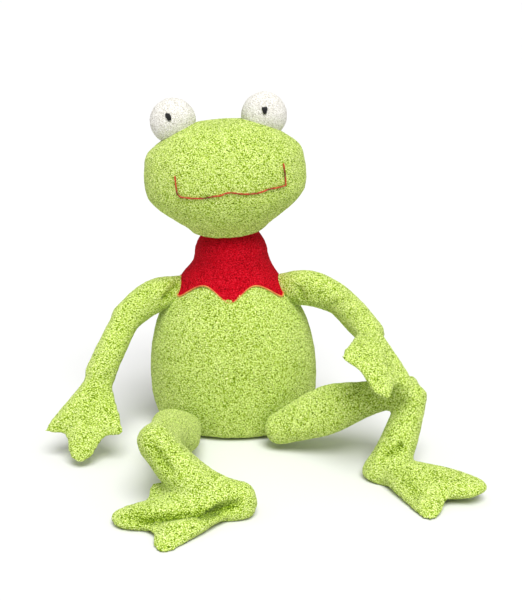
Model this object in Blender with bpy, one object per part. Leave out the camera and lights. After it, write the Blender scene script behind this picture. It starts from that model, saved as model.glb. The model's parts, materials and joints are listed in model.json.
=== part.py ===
# Seated plush frog of terry cloth: covers over separate pads of stuffing, hinged where the soft limbs bend.
# Metres, +Z up. The origin is the middle of the seat on the floor, the frog faces -Y and its left side is +X.
import math

import bmesh
import bpy
from mathutils import Matrix, Vector

# Cloth and sewing
CLOTH_THICKNESS = 0.0015  # terry cloth with its loops flattened
SEAM_GAP = 0.0003         # between sewn panels, and between a cover and its stuffing
TURN_GAP = 0.0008         # between two pieces that turn on each other
NECK_GAP = 0.0012         # between the collar and the head that turns on it
THREAD_DIAMETER = 0.0011  # embroidery
SLIVER_WIDTH = 0.00001    # corners that a cut leaves nearer than this become one
SAME_POINT = 0.0000001    # points of a built shape nearer than this are one

# Torso, and the red neck that is sewn into it
BODY_WIDTH = 0.140
BODY_DEPTH = 0.108
BODY_HEIGHT = 0.150       # from the floor to the point that the head turns about
NECK_RADIUS = 0.032
NECK_LEAN = -0.0035       # of the neck, sideways
NECK_TOP_DEG = 48.0       # the red cloth closes over the neck up to this latitude
HEM_HEIGHT = 0.1180       # lowest reach of the red cloth, at the tip of a petal
HEM_RISE = 0.0120         # from a petal's tip to the arch between two petals
HEM_PETALS = 6
HEM_SOFTNESS_SHARE = 0.30
COLLAR_ROW_SHARES = (0.0, 0.5)

# Head
HEAD_WIDTH = 0.133
HEAD_FRONT_DEPTH = 0.050  # from the middle of the head to the face
HEAD_BACK_DEPTH = 0.043
HEAD_HEIGHT = 0.0976      # from the neck opening to the crown
CHIN_RISE = 0.0147        # of the neck opening, above the point that the head turns about
HEAD_FORWARD = 0.006
FORWARD_SHARE = 0.4       # of the head's height, where it is as far forward as it gets
HEAD_ROLL_DEG = 3.2       # the frog's left side is the higher one
HEAD_YAW_DEG = 4.0        # towards the frog's left

# Face
EYE_DIAMETER = 0.037
EYE_DEPTH = 0.031
EYE_SPACING = 0.0735
EYE_RISE = 0.0002         # of its middle, above the crown
EYE_BACK = 0.006          # behind the middle of the head
EYE_ASIDE = -0.0022       # of the pair's middle, towards the frog's left
PUPIL_WIDTH = 0.0044
PUPIL_HEIGHT = 0.0064
PUPIL_RISE = 0.0060       # above the middle of the eye
PUPIL_ASIDE = 0.0033      # of the right pupil only, towards the frog's right
PUPIL_THICKNESS = 0.0012
MOUTH_WIDTH = 0.0860
MOUTH_HEIGHT = 0.0465     # of the long stroke, above the neck opening
MOUTH_WAVE = 0.0026       # how far its middle dips to the frog's right and lifts to its left
MOUTH_CORNER = 0.0150     # length of the upright stroke at each end
MOUTH_INNER_SHARE = 0.98  # how far out the long stroke reaches before it turns up

# Arms
SHOULDER_HEIGHT = 0.1205
SHOULDER_INSET = 0.0060   # how far inside the torso's side the arm's line starts
UPPER_ARM_LENGTH = 0.0528
FOREARM_LENGTH = 0.0536
ARM_WIDTH = 0.0309
ARM_THICKNESS = 0.0254
WRIST_WIDTH = 0.0194
HAND_LENGTH = 0.0672
HAND_THICKNESS = 0.0120
HAND_FAN_DEG = 28.6       # from the middle finger to each side edge

# Legs
HIP_ANGLE_DEG = 28.9      # round the torso from its middle front
HIP_HEIGHT = 0.0180
HIP_RADIUS = 0.0140
THIGH_LENGTH = 0.1171
SHANK_LENGTH = 0.0690
THIGH_WIDTH = 0.0318
THIGH_THICKNESS = 0.0358
SHANK_WIDTH = 0.0318
SHANK_THICKNESS = 0.0302
ANKLE_WIDTH = 0.0227
SOLE_LENGTH = 0.0866
SOLE_THICKNESS = 0.0150
SOLE_FAN_DEG = 35.4

# Outlines as shares. Torso: height, then how far the half width and half depth lie from the neck's radius
# (0) to the body's own (1).
TORSO_SHARES = (
    (0.000, 0.521, 0.440), (0.014, 0.705, 0.665), (0.043, 0.870, 0.835), (0.107, 0.985, 0.955),
    (0.213, 1.020, 1.000), (0.413, 0.990, 0.965), (0.600, 0.840, 0.775), (0.713, 0.645, 0.520),
    (0.780, 0.465, 0.336), (0.867, 0.235, 0.155), (0.947, 0.058, 0.030), (1.000, 0.000, 0.000),
)
# Head: height, then shares of the half width, of the front and of the back.
HEAD_SHARES = (
    (0.000, 0.438, 0.582, 0.677), (0.080, 0.502, 0.660, 0.735), (0.150, 0.611, 0.770, 0.820),
    (0.210, 0.715, 0.845, 0.870), (0.290, 0.852, 0.920, 0.930), (0.390, 0.965, 0.972, 0.975),
    (0.510, 0.990, 1.000, 1.000), (0.630, 0.978, 0.980, 0.980), (0.750, 0.931, 0.905, 0.900),
    (0.860, 0.727, 0.755, 0.745), (0.940, 0.534, 0.530, 0.520), (0.985, 0.309, 0.270, 0.270),
)
# Limbs: place along the limb, then shares of its width and thickness.
UPPER_ARM_SHARES = ((0.0, 1.02, 1.01), (0.5, 1.06, 1.10), (1.0, 0.93, 1.01))
FOREARM_SHARES = ((0.0, 0.86, 0.91), (0.5, 0.90, 0.95), (1.0, 0.96, 0.82))
THIGH_SHARES = ((0.35, 0.94, 1.19), (0.7, 0.91, 0.85), (1.0, 0.82, 0.90))
SHANK_SHARES = ((0.0, 0.92, 0.91), (0.45, 1.05, 1.11), (1.0, 0.79, 1.24))
LIMB_STEP_SHARES = (0.0, 0.2, 0.45, 0.72, 1.0)
# Hands and feet: places across the web, rows along it, and the reach of the web and of its side edges.
WEB_PLACE_SHARES = (-1.0, -0.86, -0.62, -0.42, -0.14, 0.14, 0.42, 0.62, 0.86, 1.0)
WEB_ROW_SHARES = (0.0, 0.24, 0.5, 0.74, 0.91, 1.0)
SIDE_TOE_SHARE = 0.86
TOE_PLACE_SHARES = (-SIDE_TOE_SHARE, 0.0, SIDE_TOE_SHARE)
TOE_NARROW_SHARE = 0.27
EDGE_SHARE = 0.80         # reach of the side edges, of the side toes' own reach
HAND_WEB_SHARE = 0.797
SOLE_WEB_SHARE = 0.727
HAND_TIP_SHARES = (0.76, 1.08, 0.87)
HAND_ROOT_SHARE = 0.48    # how much thicker than the web it is at the wrist
SOLE_ROOT_SHARE = 0.28
FOLD_SHARE = 0.34         # of the length: how far out a web's half reaches its full fold
TIP_SWELL_SHARE = 0.75    # thickness near the toes, of the full thickness
TIP_ROOM_SHARE = 2.5      # what the lining leaves at the toes, of what it leaves elsewhere

ELBOW_CLOSING_DEG = (20.0, 40.0)
WRIST_DEG = 35.0

# How the photographed frog sits. Headings are (outward yaw, pitch) of each piece of a limb, from the body
# out; bows are the rise of its middle as shares of its length; folds are of a web's two halves, in degrees.
RIGHT_ARM_POSE = {
    "headings": ((58.5, -16.6), (30.9, -45.8), (19.0, -52.0)), "bows": (0.12, 0.02),
    "over": (0.0, -0.75, 0.76), "folds": (5.0, -8.0), "droop": (0.0, 0.0, 0.0),
}
LEFT_ARM_POSE = {
    "headings": ((62.0, -0.4), (25.7, -14.7), (3.4, -12.1)), "bows": (0.11, 0.02),
    "over": (0.42, 0.01, 0.91), "folds": (2.0, -5.0), "droop": (0.0, 0.0, -0.17),
}
RIGHT_LEG_POSE = {
    "headings": ((6.6, 15.8), (-76.2, -34.6), (82.2, -4.0)), "bows": (0.02, -0.14),
    "over": (0.0, 0.0, 1.0), "folds": (-5.0, 22.0), "droop": (0.0, 0.0, 0.0),
    "tips": (0.84, 1.05, 0.72), "fan_shares": (1.15, 0.58), "knee_share": 1.07,
}
LEFT_LEG_POSE = {
    "headings": ((75.3, 21.8), (-37.4, -51.6), (61.3, 3.3)), "bows": (0.04, -0.12),
    "over": (0.0, 0.0, 1.0), "folds": (-9.4, -9.3), "droop": (0.0, 0.0, 0.0),
    "tips": (0.52, 0.99, 0.85), "fan_shares": (0.45, 1.12), "knee_share": 0.85,
}

LIMB_SIDES = 10
BODY_SIDES = 36           # of the torso, a multiple of four times the petals' half count
HEAD_SIDES = 20
EYE_SIDES = 12
PUPIL_SIDES = 8
THREAD_SIDES = 5
MOUTH_STROKES = 12
BALL_SIDES = 16
BALL_ROWS = 10
NECK_SIDES = 24           # of the hollow that the ball in the neck turns in
NECK_ROWS = 12
DOME_DEG = (35.0, 66.0)
SLOPE_STEP = 0.01         # over which the torso's slope is taken

UP = Vector((0, 0, 1))
GREEN = (0.55, 0.70, 0.13)
RED = (0.52, 0.006, 0.020)
WHITE = (0.84, 0.81, 0.74)
BLACK = (0.010, 0.010, 0.011)
ORANGE = (0.62, 0.060, 0.018)
WADDING = (0.88, 0.88, 0.85)


def clear_scene():
    for old in list(bpy.data.objects):
        bpy.data.objects.remove(old, do_unlink=True)


def cloth(name, colour, roughness=0.95):
    made = bpy.data.materials.new(name)
    made.use_nodes = True
    shader = made.node_tree.nodes["Principled BSDF"]
    shader.inputs["Base Color"].default_value = (*colour, 1.0)
    shader.inputs["Roughness"].default_value = roughness
    shader.inputs["Metallic"].default_value = 0.0
    return made


def heading(yaw_deg, pitch_deg):
    # Yaw turns from straight ahead (-Y) towards the frog's left (+X), and pitch tips upwards.
    yaw, pitch = math.radians(yaw_deg), math.radians(pitch_deg)
    return Vector((math.sin(yaw) * math.cos(pitch), -math.cos(yaw) * math.cos(pitch), math.sin(pitch)))


def round_angles(count):
    return [2 * math.pi * k / count for k in range(count)]


def middle(points):
    return sum(points, Vector()) / len(points)


def square_to(direction, line):
    return (direction - line * direction.dot(line)).normalized()


def smooth_shares(table, at):
    # Reads a table's later columns at a share of its first one, along a smooth curve through its rows.
    last = len(table) - 1
    row = next((k for k in range(last) if at <= table[k + 1][0]), last - 1)
    before, low, high, after = (table[min(max(row + k, 0), last)] for k in (-1, 0, 1, 2))
    width = high[0] - low[0]
    t = min(max((at - low[0]) / width, 0.0), 1.0)
    found = []
    for k in range(1, len(low)):
        rise0 = (high[k] - before[k]) / (high[0] - before[0]) * width
        rise1 = (after[k] - low[k]) / (after[0] - low[0]) * width
        found.append((2 * t**3 - 3 * t**2 + 1) * low[k] + (t**3 - 2 * t**2 + t) * rise0
                     + (-2 * t**3 + 3 * t**2) * high[k] + (t**3 - t**2) * rise1)
    return found


# Meshes out of rings and grids of points


def add_rings(bm, rings):
    return [[bm.verts.new(point) for point in ring] for ring in rings]


def bridge(bm, rings, closed=True):
    for low, high in zip(rings, rings[1:]):
        for k in range(len(low) if closed else len(low) - 1):
            following = (k + 1) % len(low)
            bm.faces.new((low[k], low[following], high[following], high[k]))


def cap(bm, ring, tip):
    corner = bm.verts.new(tip)
    for k, point in enumerate(ring):
        bm.faces.new((point, ring[(k + 1) % len(ring)], corner))


def finished(bm, name, material, origin=None):
    bmesh.ops.remove_doubles(bm, verts=bm.verts, dist=SAME_POINT)
    bmesh.ops.triangulate(bm, faces=bm.faces)
    bmesh.ops.recalc_face_normals(bm, faces=bm.faces)
    mesh = bpy.data.meshes.new(name)
    bm.to_mesh(mesh)
    bm.free()
    origin = Vector(origin or (0, 0, 0))
    mesh.transform(Matrix.Translation(-origin))
    mesh.shade_smooth()
    if material:
        mesh.materials.append(material)
    made = bpy.data.objects.new(name, mesh)
    made.location = origin
    bpy.context.scene.collection.objects.link(made)
    return made


def solid(name, form, material=None, origin=None):
    # A closed body: the form's rings, with a point at each end that isn't drawn to an edge.
    bm = bmesh.new()
    rings = add_rings(bm, form["rings"])
    bridge(bm, rings)
    cap(bm, rings[0], form["start"])
    if form["end"]:
        cap(bm, rings[-1], form["end"])
    return finished(bm, name, material, origin)


def sleeve(name, outer, inner, material, origin=None):
    # A cloth cover: closed at its tip, open at its root, where the stuffing passes into its neighbour.
    bm = bmesh.new()
    outside, inside = add_rings(bm, outer["rings"]), add_rings(bm, inner["rings"])
    for rings, form in ((outside, outer), (inside, inner)):
        bridge(bm, rings)
        if form["end"]:
            cap(bm, rings[-1], form["end"])
    bridge(bm, [outside[0], inside[0]])
    return finished(bm, name, material, origin)


def tube_wall(name, outer, inner, material, closed):
    # A patch or band of cloth: two grids, and walls along the edges that stay open.
    bm = bmesh.new()
    outside, inside = add_rings(bm, outer), add_rings(bm, inner)
    bridge(bm, outside, closed)
    bridge(bm, inside, closed)
    for row in (0, -1):
        bridge(bm, [outside[row], inside[row]], closed)
    if not closed:
        for side in (0, -1):
            bridge(bm, [[row[side] for row in outside], [row[side] for row in inside]], closed)
    return finished(bm, name, material)


def helper(made):
    made.hide_render = True
    made.display_type = "WIRE"
    return made


def cut(pieces, cutters):
    for piece in pieces:
        for cutter in cutters:
            modifier = piece.modifiers.new("cut_by_" + cutter.name, "BOOLEAN")
            modifier.operation = "DIFFERENCE"
            modifier.object = cutter
            modifier.solver = "MANIFOLD"
        flat = piece.modifiers.new("flat_faces_to_triangles", "TRIANGULATE")
        flat.ngon_method = "CLIP"
        weld = piece.modifiers.new("trim_slivers", "WELD")
        weld.merge_threshold = SLIVER_WIDTH


def half_space(name, point, normal, reach):
    # A block that fills the far side of a plane, out to a reach.
    bm = bmesh.new()
    bmesh.ops.create_cube(bm, size=reach + reach)
    turn = UP.rotation_difference(normal).to_matrix().to_4x4()
    bmesh.ops.transform(bm, matrix=Matrix.Translation(point - normal * reach) @ turn, verts=bm.verts)
    return helper(finished(bm, name, None))


def turned_copies(cutter, joint, angles_deg):
    # The same cutter turned about a joint, so that what it cuts clears it over the joint's range.
    copies = []
    for degrees in angles_deg:
        made = bpy.data.objects.new(f"{cutter.name}_at_{degrees:.0f}", cutter.data)
        turn = Matrix.Rotation(math.radians(-degrees), 4, joint["axis"])
        pivot = Matrix.Translation(joint["pivot"])
        made.matrix_world = pivot @ turn @ pivot.inverted() @ cutter.matrix_world
        bpy.context.scene.collection.objects.link(made)
        copies.append(helper(made))
    return copies


def ellipsoid(name, centre, axis, along, half_axis, radius, sides=BALL_SIDES, rows=BALL_ROWS):
    # Turned about its axis, with its poles on it.
    side = axis.cross(along).normalized()
    rings = []
    for row in range(1, rows):
        polar = math.pi * row / rows
        ring = []
        for turn in round_angles(sides):
            spoke = along * math.cos(turn) + side * math.sin(turn)
            ring.append(centre - axis * (half_axis * math.cos(polar)) + spoke * (radius * math.sin(polar)))
        rings.append(ring)
    form = {"rings": rings, "start": centre - axis * half_axis, "end": centre + axis * half_axis}
    return helper(solid(name, form))


def ball_at(centre, name, radius, sides=BALL_SIDES, rows=BALL_ROWS):
    return ellipsoid(name, centre, UP, Vector((1, 0, 0)), radius, radius, sides, rows)


# Torso and neck


def torso_halves(share):
    width, depth = smooth_shares(TORSO_SHARES, share)
    return (NECK_RADIUS + (BODY_WIDTH / 2 - NECK_RADIUS) * width,
            NECK_RADIUS + (BODY_DEPTH / 2 - NECK_RADIUS) * depth)


def torso_point(angle, share, inset):
    # Angle 0 is the front and turns towards the frog's left. Share runs from the floor to the neck's pivot.
    width, depth = torso_halves(share)
    return Vector((NECK_LEAN * share**2 + (width - inset) * math.sin(angle),
                   -(depth - inset) * math.cos(angle), BODY_HEIGHT * share))


def neck_pivot():
    return Vector((NECK_LEAN, 0, BODY_HEIGHT))


def neck_point(angle, latitude_deg, inset):
    latitude = math.radians(latitude_deg)
    spoke = Vector((math.sin(angle), -math.cos(angle), 0)) * math.cos(latitude)
    return neck_pivot() + (spoke + UP * math.sin(latitude)) * (NECK_RADIUS - inset)


def hem_share(angle):
    # The lower edge of the red cloth: a softly rounded petal every 60 degrees, with an arch between two.
    wave = math.hypot(math.sin(angle * HEM_PETALS / 2), HEM_SOFTNESS_SHARE) - HEM_SOFTNESS_SHARE
    most = math.hypot(1.0, HEM_SOFTNESS_SHARE) - HEM_SOFTNESS_SHARE
    return (HEM_HEIGHT + HEM_RISE * wave / most) / BODY_HEIGHT


def make_torso(green, red, wadding):
    seam = SEAM_GAP / BODY_WIDTH
    rows = [s for s, *_ in TORSO_SHARES if s * BODY_HEIGHT < HEM_HEIGHT - HEM_RISE / 2]
    quarters = {"torso_front_left": 0, "torso_back_left": 1, "torso_back_right": 2, "torso_front_right": 3}
    columns = BODY_SIDES // 4
    for name, quarter in quarters.items():
        grids = []
        for inset in (0.0, CLOTH_THICKNESS):
            places = [quarter + seam + (1 - 2 * seam) * k / columns for k in range(columns + 1)]
            angles = [place * math.pi / 2 for place in places]
            grid = [[torso_point(a, row, inset) for a in angles] for row in rows]
            grid.append([torso_point(a, hem_share(a) - SEAM_GAP / BODY_HEIGHT, inset) for a in angles])
            grids.append(grid)
        tube_wall(name, *grids, green, closed=False)

    ring = [torso_point(a, 0.0, CLOTH_THICKNESS + SEAM_GAP) for a in round_angles(BODY_SIDES)]
    raised = [point + UP * CLOTH_THICKNESS for point in ring]
    form = {"rings": [ring, raised], "start": middle(ring), "end": middle(raised)}
    solid("seat_panel", form, green)

    angles = round_angles(BODY_SIDES)
    grids = []
    for inset in (0.0, CLOTH_THICKNESS):
        grid = []
        for t in COLLAR_ROW_SHARES:
            shares = [hem_share(a) + (1 - hem_share(a)) * t for a in angles]
            grid.append([torso_point(a, s, inset) for a, s in zip(angles, shares)])
        for latitude in (0.0, NECK_TOP_DEG / 2, NECK_TOP_DEG):
            grid.append([neck_point(a, latitude, inset) for a in angles])
        grids.append(grid)
    tube_wall("neck_collar", *grids, red, closed=True)

    inset = CLOTH_THICKNESS + 2 * SEAM_GAP
    low = (CLOTH_THICKNESS + SEAM_GAP) / BODY_HEIGHT
    shares = [low] + [s for s, *_ in TORSO_SHARES if low < s < 1.0] + [1.0]
    rings = [[torso_point(a, s, inset) for a in round_angles(BODY_SIDES // 2)] for s in shares]
    form = {"rings": rings, "start": middle(rings[0]), "end": middle(rings[-1])}
    stuffing = solid("torso_stuffing", form, wadding)
    radius = NECK_RADIUS - CLOTH_THICKNESS - TURN_GAP
    cut([stuffing], [ball_at(neck_pivot(), "neck_hollow", radius, NECK_SIDES, NECK_ROWS)])
    ball = ball_at(neck_pivot(), "neck_stuffing", radius - TURN_GAP)
    ball.hide_render = False
    ball.display_type = "TEXTURED"
    ball.data.materials.append(wadding)


# Head and face


def head_matrix():
    place = Matrix.Translation(neck_pivot() + UP * CHIN_RISE)
    yaw = Matrix.Rotation(math.radians(HEAD_YAW_DEG), 4, "Z")
    roll = Matrix.Rotation(-math.radians(HEAD_ROLL_DEG), 4, "Y")
    return place @ yaw @ roll


def head_point(angle, share, inset):
    width, front, back = smooth_shares(HEAD_SHARES, share)
    depth = HEAD_FRONT_DEPTH * front if math.cos(angle) > 0 else HEAD_BACK_DEPTH * back
    forward = HEAD_FORWARD * min(share / FORWARD_SHARE, 1.0)
    height = inset + (HEAD_HEIGHT - 2 * inset) * share
    across = (HEAD_WIDTH / 2 * width - inset) * math.sin(angle)
    return head_matrix() @ Vector((across, -(depth - inset) * math.cos(angle) - forward, height))


def head_rings(inset, angles):
    return [[head_point(a, s, inset) for a in angles] for s, *_ in HEAD_SHARES]


def crown(inset):
    return head_matrix() @ Vector((0, -HEAD_FORWARD, HEAD_HEIGHT - inset))


def on_face(across, height, lift):
    # The place on the face that lies across and up from the neck opening's middle, lifted off the cloth.
    width, front, _ = smooth_shares(HEAD_SHARES, height / HEAD_HEIGHT)
    sine = across / (HEAD_WIDTH / 2 * width + lift)
    forward = HEAD_FORWARD * min(height / HEAD_HEIGHT / FORWARD_SHARE, 1.0)
    depth = (HEAD_FRONT_DEPTH * front + lift) * math.sqrt(1 - sine * sine)
    return head_matrix() @ Vector((across, -depth - forward, height))


def make_head(green, wadding):
    seam = SEAM_GAP / HEAD_WIDTH
    columns = HEAD_SIDES // 2
    pieces = []
    for name, start in (("head_front", -0.5), ("head_back", 0.5)):
        angles = [math.pi * (start + seam + (1 - 2 * seam) * k / columns) for k in range(columns + 1)]
        grids = [head_rings(inset, angles) for inset in (0.0, CLOTH_THICKNESS)]
        for grid, inset in zip(grids, (0.0, CLOTH_THICKNESS)):
            top = crown(inset)
            grid.append([top + (point - top) * seam for point in grid[-1]])
        pieces.append(tube_wall(name, *grids, green, closed=False))
    inset = CLOTH_THICKNESS + 2 * SEAM_GAP
    rings = head_rings(inset, round_angles(HEAD_SIDES))
    form = {"rings": rings, "start": middle(rings[0]), "end": crown(inset)}
    pieces.append(solid("head_stuffing", form, wadding))
    cut(pieces, [ball_at(neck_pivot(), "neck_socket", NECK_RADIUS + NECK_GAP, NECK_SIDES, NECK_ROWS)])


def eye_centre(side):
    across = EYE_ASIDE + side * EYE_SPACING / 2
    return head_matrix() @ Vector((across, EYE_BACK - HEAD_FORWARD, HEAD_HEIGHT + EYE_RISE))


def make_eyes(white, black):
    rings = head_rings(-SEAM_GAP * 2, round_angles(HEAD_SIDES))
    form = {"rings": rings, "start": middle(rings[0]), "end": crown(-SEAM_GAP * 2)}
    head = helper(solid("head_hollow", form))
    facing = head_matrix().to_3x3() @ Vector((0, -1, 0))
    upright = head_matrix().to_3x3() @ UP
    for side, name in ((1, "left"), (-1, "right")):
        centre = eye_centre(side)
        radius, half_depth = EYE_DIAMETER / 2, EYE_DEPTH / 2
        rings = []
        for row in range(1, EYE_SIDES // 2 + 1):
            polar = math.pi * row / (EYE_SIDES // 2 + 1)
            ring = []
            for turn in round_angles(EYE_SIDES):
                spoke = upright * math.cos(turn) + facing.cross(upright) * math.sin(turn)
                rise = facing * (half_depth * math.cos(polar))
                ring.append(centre + rise + spoke * (radius * math.sin(polar)))
            rings.append(ring)
        form = {"rings": rings, "start": centre + facing * half_depth, "end": centre - facing * half_depth}
        cut([solid("eye_" + name, form, white)], [head])
        # The pupil lies flat against the ball, square to it there.
        lean = upright * PUPIL_RISE + facing.cross(upright) * (max(-side, 0) * PUPIL_ASIDE)
        fall = math.sqrt(1 - lean.length_squared / radius**2)
        outward = (facing * (fall / half_depth) + lean / radius**2).normalized()
        low = centre + facing * (half_depth * fall) + lean + outward * SEAM_GAP
        across = outward.cross(upright).normalized()
        tall = across.cross(outward)
        outline = []
        for turn in round_angles(PUPIL_SIDES):
            x, y = math.cos(turn), math.sin(turn)
            blunt = math.sqrt(max(abs(x), abs(y)))
            outline.append(across * (PUPIL_WIDTH / 2 * x / blunt) + tall * (PUPIL_HEIGHT / 2 * y / blunt))
        rings = [[low + point for point in outline]]
        rings.append([point + outward * PUPIL_THICKNESS for point in rings[0]])
        form = {"rings": rings, "start": middle(rings[0]), "end": middle(rings[1])}
        solid("pupil_" + name, form, black)


def make_mouth(orange):
    # One thread: up at each corner, with a long stroke between that dips and lifts a little.
    half = MOUTH_WIDTH / 2
    places = [(-half, MOUTH_HEIGHT + MOUTH_CORNER), (-half, MOUTH_HEIGHT + MOUTH_CORNER / 2)]
    for k in range(MOUTH_STROKES + 1):
        across = half * (2 * k / MOUTH_STROKES - 1)
        height = MOUTH_HEIGHT + MOUTH_WAVE * math.sin(math.pi * across / half)
        places.append((across * MOUTH_INNER_SHARE, height))
    places += [(half, MOUTH_HEIGHT + MOUTH_CORNER / 2), (half, MOUTH_HEIGHT + MOUTH_CORNER)]
    line = [on_face(across, height, THREAD_DIAMETER / 2 + SEAM_GAP) for across, height in places]
    rings = []
    behind = crown(HEAD_HEIGHT / 2)
    for k, point in enumerate(line):
        along = (line[min(k + 1, len(line) - 1)] - line[max(k - 1, 0)]).normalized()
        out = square_to(point - behind, along)
        side = along.cross(out)
        spokes = [out * math.cos(a) + side * math.sin(a) for a in round_angles(THREAD_SIDES)]
        rings.append([point + spoke * (THREAD_DIAMETER / 2) for spoke in spokes])
    solid("mouth_stitching", {"rings": rings, "start": line[0], "end": line[-1]}, orange)


# Limbs


def limb_form(limb, inset, end_dome=True):
    # A tapering tube on a bowed line. Its wide side turns from one hinge's axis to the next one's, and it
    # ends in a dome about the next hinge.
    start, along, length = limb["start"], limb["along"], limb["length"]

    def ring(share, beyond, shrink):
        wide, thick = smooth_shares(limb["shares"], share)
        wide, thick = limb["width"] / 2 * wide - inset, limb["thickness"] / 2 * thick - inset
        across = square_to(limb["across"].lerp(limb["across_end"], share), along)
        over = across.cross(along)
        bow = limb["bow"] * (4 * share * (1 - share) * length)
        centre = start + along * (length * share + thick * beyond) + bow
        found = []
        for turn in round_angles(LIMB_SIDES):
            point = centre + across * (wide * shrink * math.cos(turn))
            point += over * (thick * shrink * math.sin(turn))
            found.append(Vector((point.x, point.y, max(point.z, inset))))
        return found, centre, thick

    rings = []
    dome = [(math.sin(math.radians(degrees)), math.cos(math.radians(degrees))) for degrees in DOME_DEG]
    if limb["root_dome"]:
        rings += [ring(0.0, -rise, shrink)[0] for rise, shrink in reversed(dome)]
    rings += [ring(share, 0.0, 1.0)[0] for share in LIMB_STEP_SHARES]
    if not end_dome:
        return {"rings": rings, "start": middle(rings[0]), "end": middle(rings[-1])}
    rings += [ring(1.0, rise, shrink)[0] for rise, shrink in dome]
    _, centre, thick = ring(1.0, 0.0, 1.0)
    tip = centre + along * thick
    tip.z = max(tip.z, inset)
    return {"rings": rings, "start": middle(rings[0]), "end": tip}


def web_reach(place, web):
    # Length of the web at a place across it: a lobe at each toe, drawn in between them and at the side edges.
    reach = web["web"]
    for toe, tip in zip(TOE_PLACE_SHARES, web["tips"]):
        reach += (tip - web["web"]) * math.exp(-(((place - toe) / TOE_NARROW_SHARE) ** 2))
    edge = max(abs(place) - SIDE_TOE_SHARE, 0.0) / (1 - SIDE_TOE_SHARE)
    return web["length"] * reach * (1 - (1 - EDGE_SHARE) * edge**2)


def web_form(web, inset):
    # A hand or foot: a flat bag that fans out from the wrist or ankle to three webbed toes. Each side of it
    # may fold up or down about its middle line.
    start, along, over = web["start"], web["along"], web["over"]
    over = square_to(over, along)
    across = along.cross(over)
    thin = 1 - inset / (web["thickness"] / 2)
    loop = [(place, 1) for place in WEB_PLACE_SHARES] + [(place, -1) for place in WEB_PLACE_SHARES[-2:0:-1]]
    rings = []
    for share in WEB_ROW_SHARES:
        root = web["root_swell"] * (1 - share) ** 2
        swell = (root + 1 - (1 - TIP_SWELL_SHARE) * share) * math.sqrt(1 - share**4)
        ring = []
        for place, side in loop:
            whole = web_reach(place, web)
            reach = min(whole * share, whole - inset * TIP_ROOM_SHARE)
            along_share = reach / web["length"]
            fan = math.radians(web["fan_deg"] * web["fan_shares"][0 if place < 0 else 1]) * place
            lateral = (web["root"] / 2 - inset) * place + reach * math.sin(fan)
            fold = math.radians(web["folds"][0] if place < 0 else -web["folds"][1])
            fold *= min(abs(lateral) / (web["length"] * FOLD_SHARE), 1.0)
            spread = across * math.cos(fold) - over * math.sin(fold)
            lift = over * math.cos(fold) + across * math.sin(fold)
            thick = web["thickness"] / 2 * thin * swell * math.sqrt(1 - place * place)
            droop = web["bow"] * (web["length"] * along_share**2)
            point = start + spread * lateral + along * (reach * math.cos(fan))
            point += lift * (side * thick) + droop
            ring.append(Vector((point.x, point.y, max(point.z, inset))))
        rings.append(ring)
    return {"rings": rings, "start": middle(rings[0]), "end": None}


def covered(name, form_of, shape, green, wadding, stuffing_name):
    pivot = shape["start"]
    cover = sleeve(name, form_of(shape, 0.0), form_of(shape, CLOTH_THICKNESS), green, pivot)
    pad = solid(stuffing_name, form_of(shape, CLOTH_THICKNESS + 3 * SEAM_GAP), wadding, pivot)
    return [cover, pad]


def hinge_cutters(name, parent, joint, closing_deg):
    # What a limb's end leaves free for the next piece: a ball about the hinge, and the limb itself, also
    # turned as far as the hinge closes.
    form = limb_form(parent, -TURN_GAP, end_dome=False)
    wide, thick = smooth_shares(parent["shares"], 1.0)
    half_axis = parent["width"] / 2 * wide + TURN_GAP
    radius = parent["thickness"] / 2 * thick + TURN_GAP
    ball = ellipsoid(name + "_ball", joint["pivot"], joint["axis"], parent["along"], half_axis, radius)
    body = helper(solid(name + "_cutter", form))
    return [ball, body, *turned_copies(body, joint, closing_deg)]


def alike(axis, other):
    return axis if axis.dot(other) > 0 else -axis


def knee_scaled(table, share, knee):
    # A leg's table with its rows near the knee scaled, in full at the knee and by half at the next row.
    order = sorted(table, key=lambda row: abs(row[0] - knee))
    scales = {order[0][0]: share, order[1][0]: (1 + share) / 2}
    return [(at, *(value * scales.get(at, 1.0) for value in values)) for at, *values in table]


def joint(pivot, axis):
    return {"pivot": pivot, "axis": axis.normalized()}


def torso_normal(angle, share):
    # Square to the torso's surface, pointing out.
    around = torso_point(angle + SLOPE_STEP, share, 0.0) - torso_point(angle - SLOPE_STEP, share, 0.0)
    upward = torso_point(angle, share + SLOPE_STEP, 0.0) - torso_point(angle, share - SLOPE_STEP, 0.0)
    return around.cross(upward).normalized()


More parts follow.
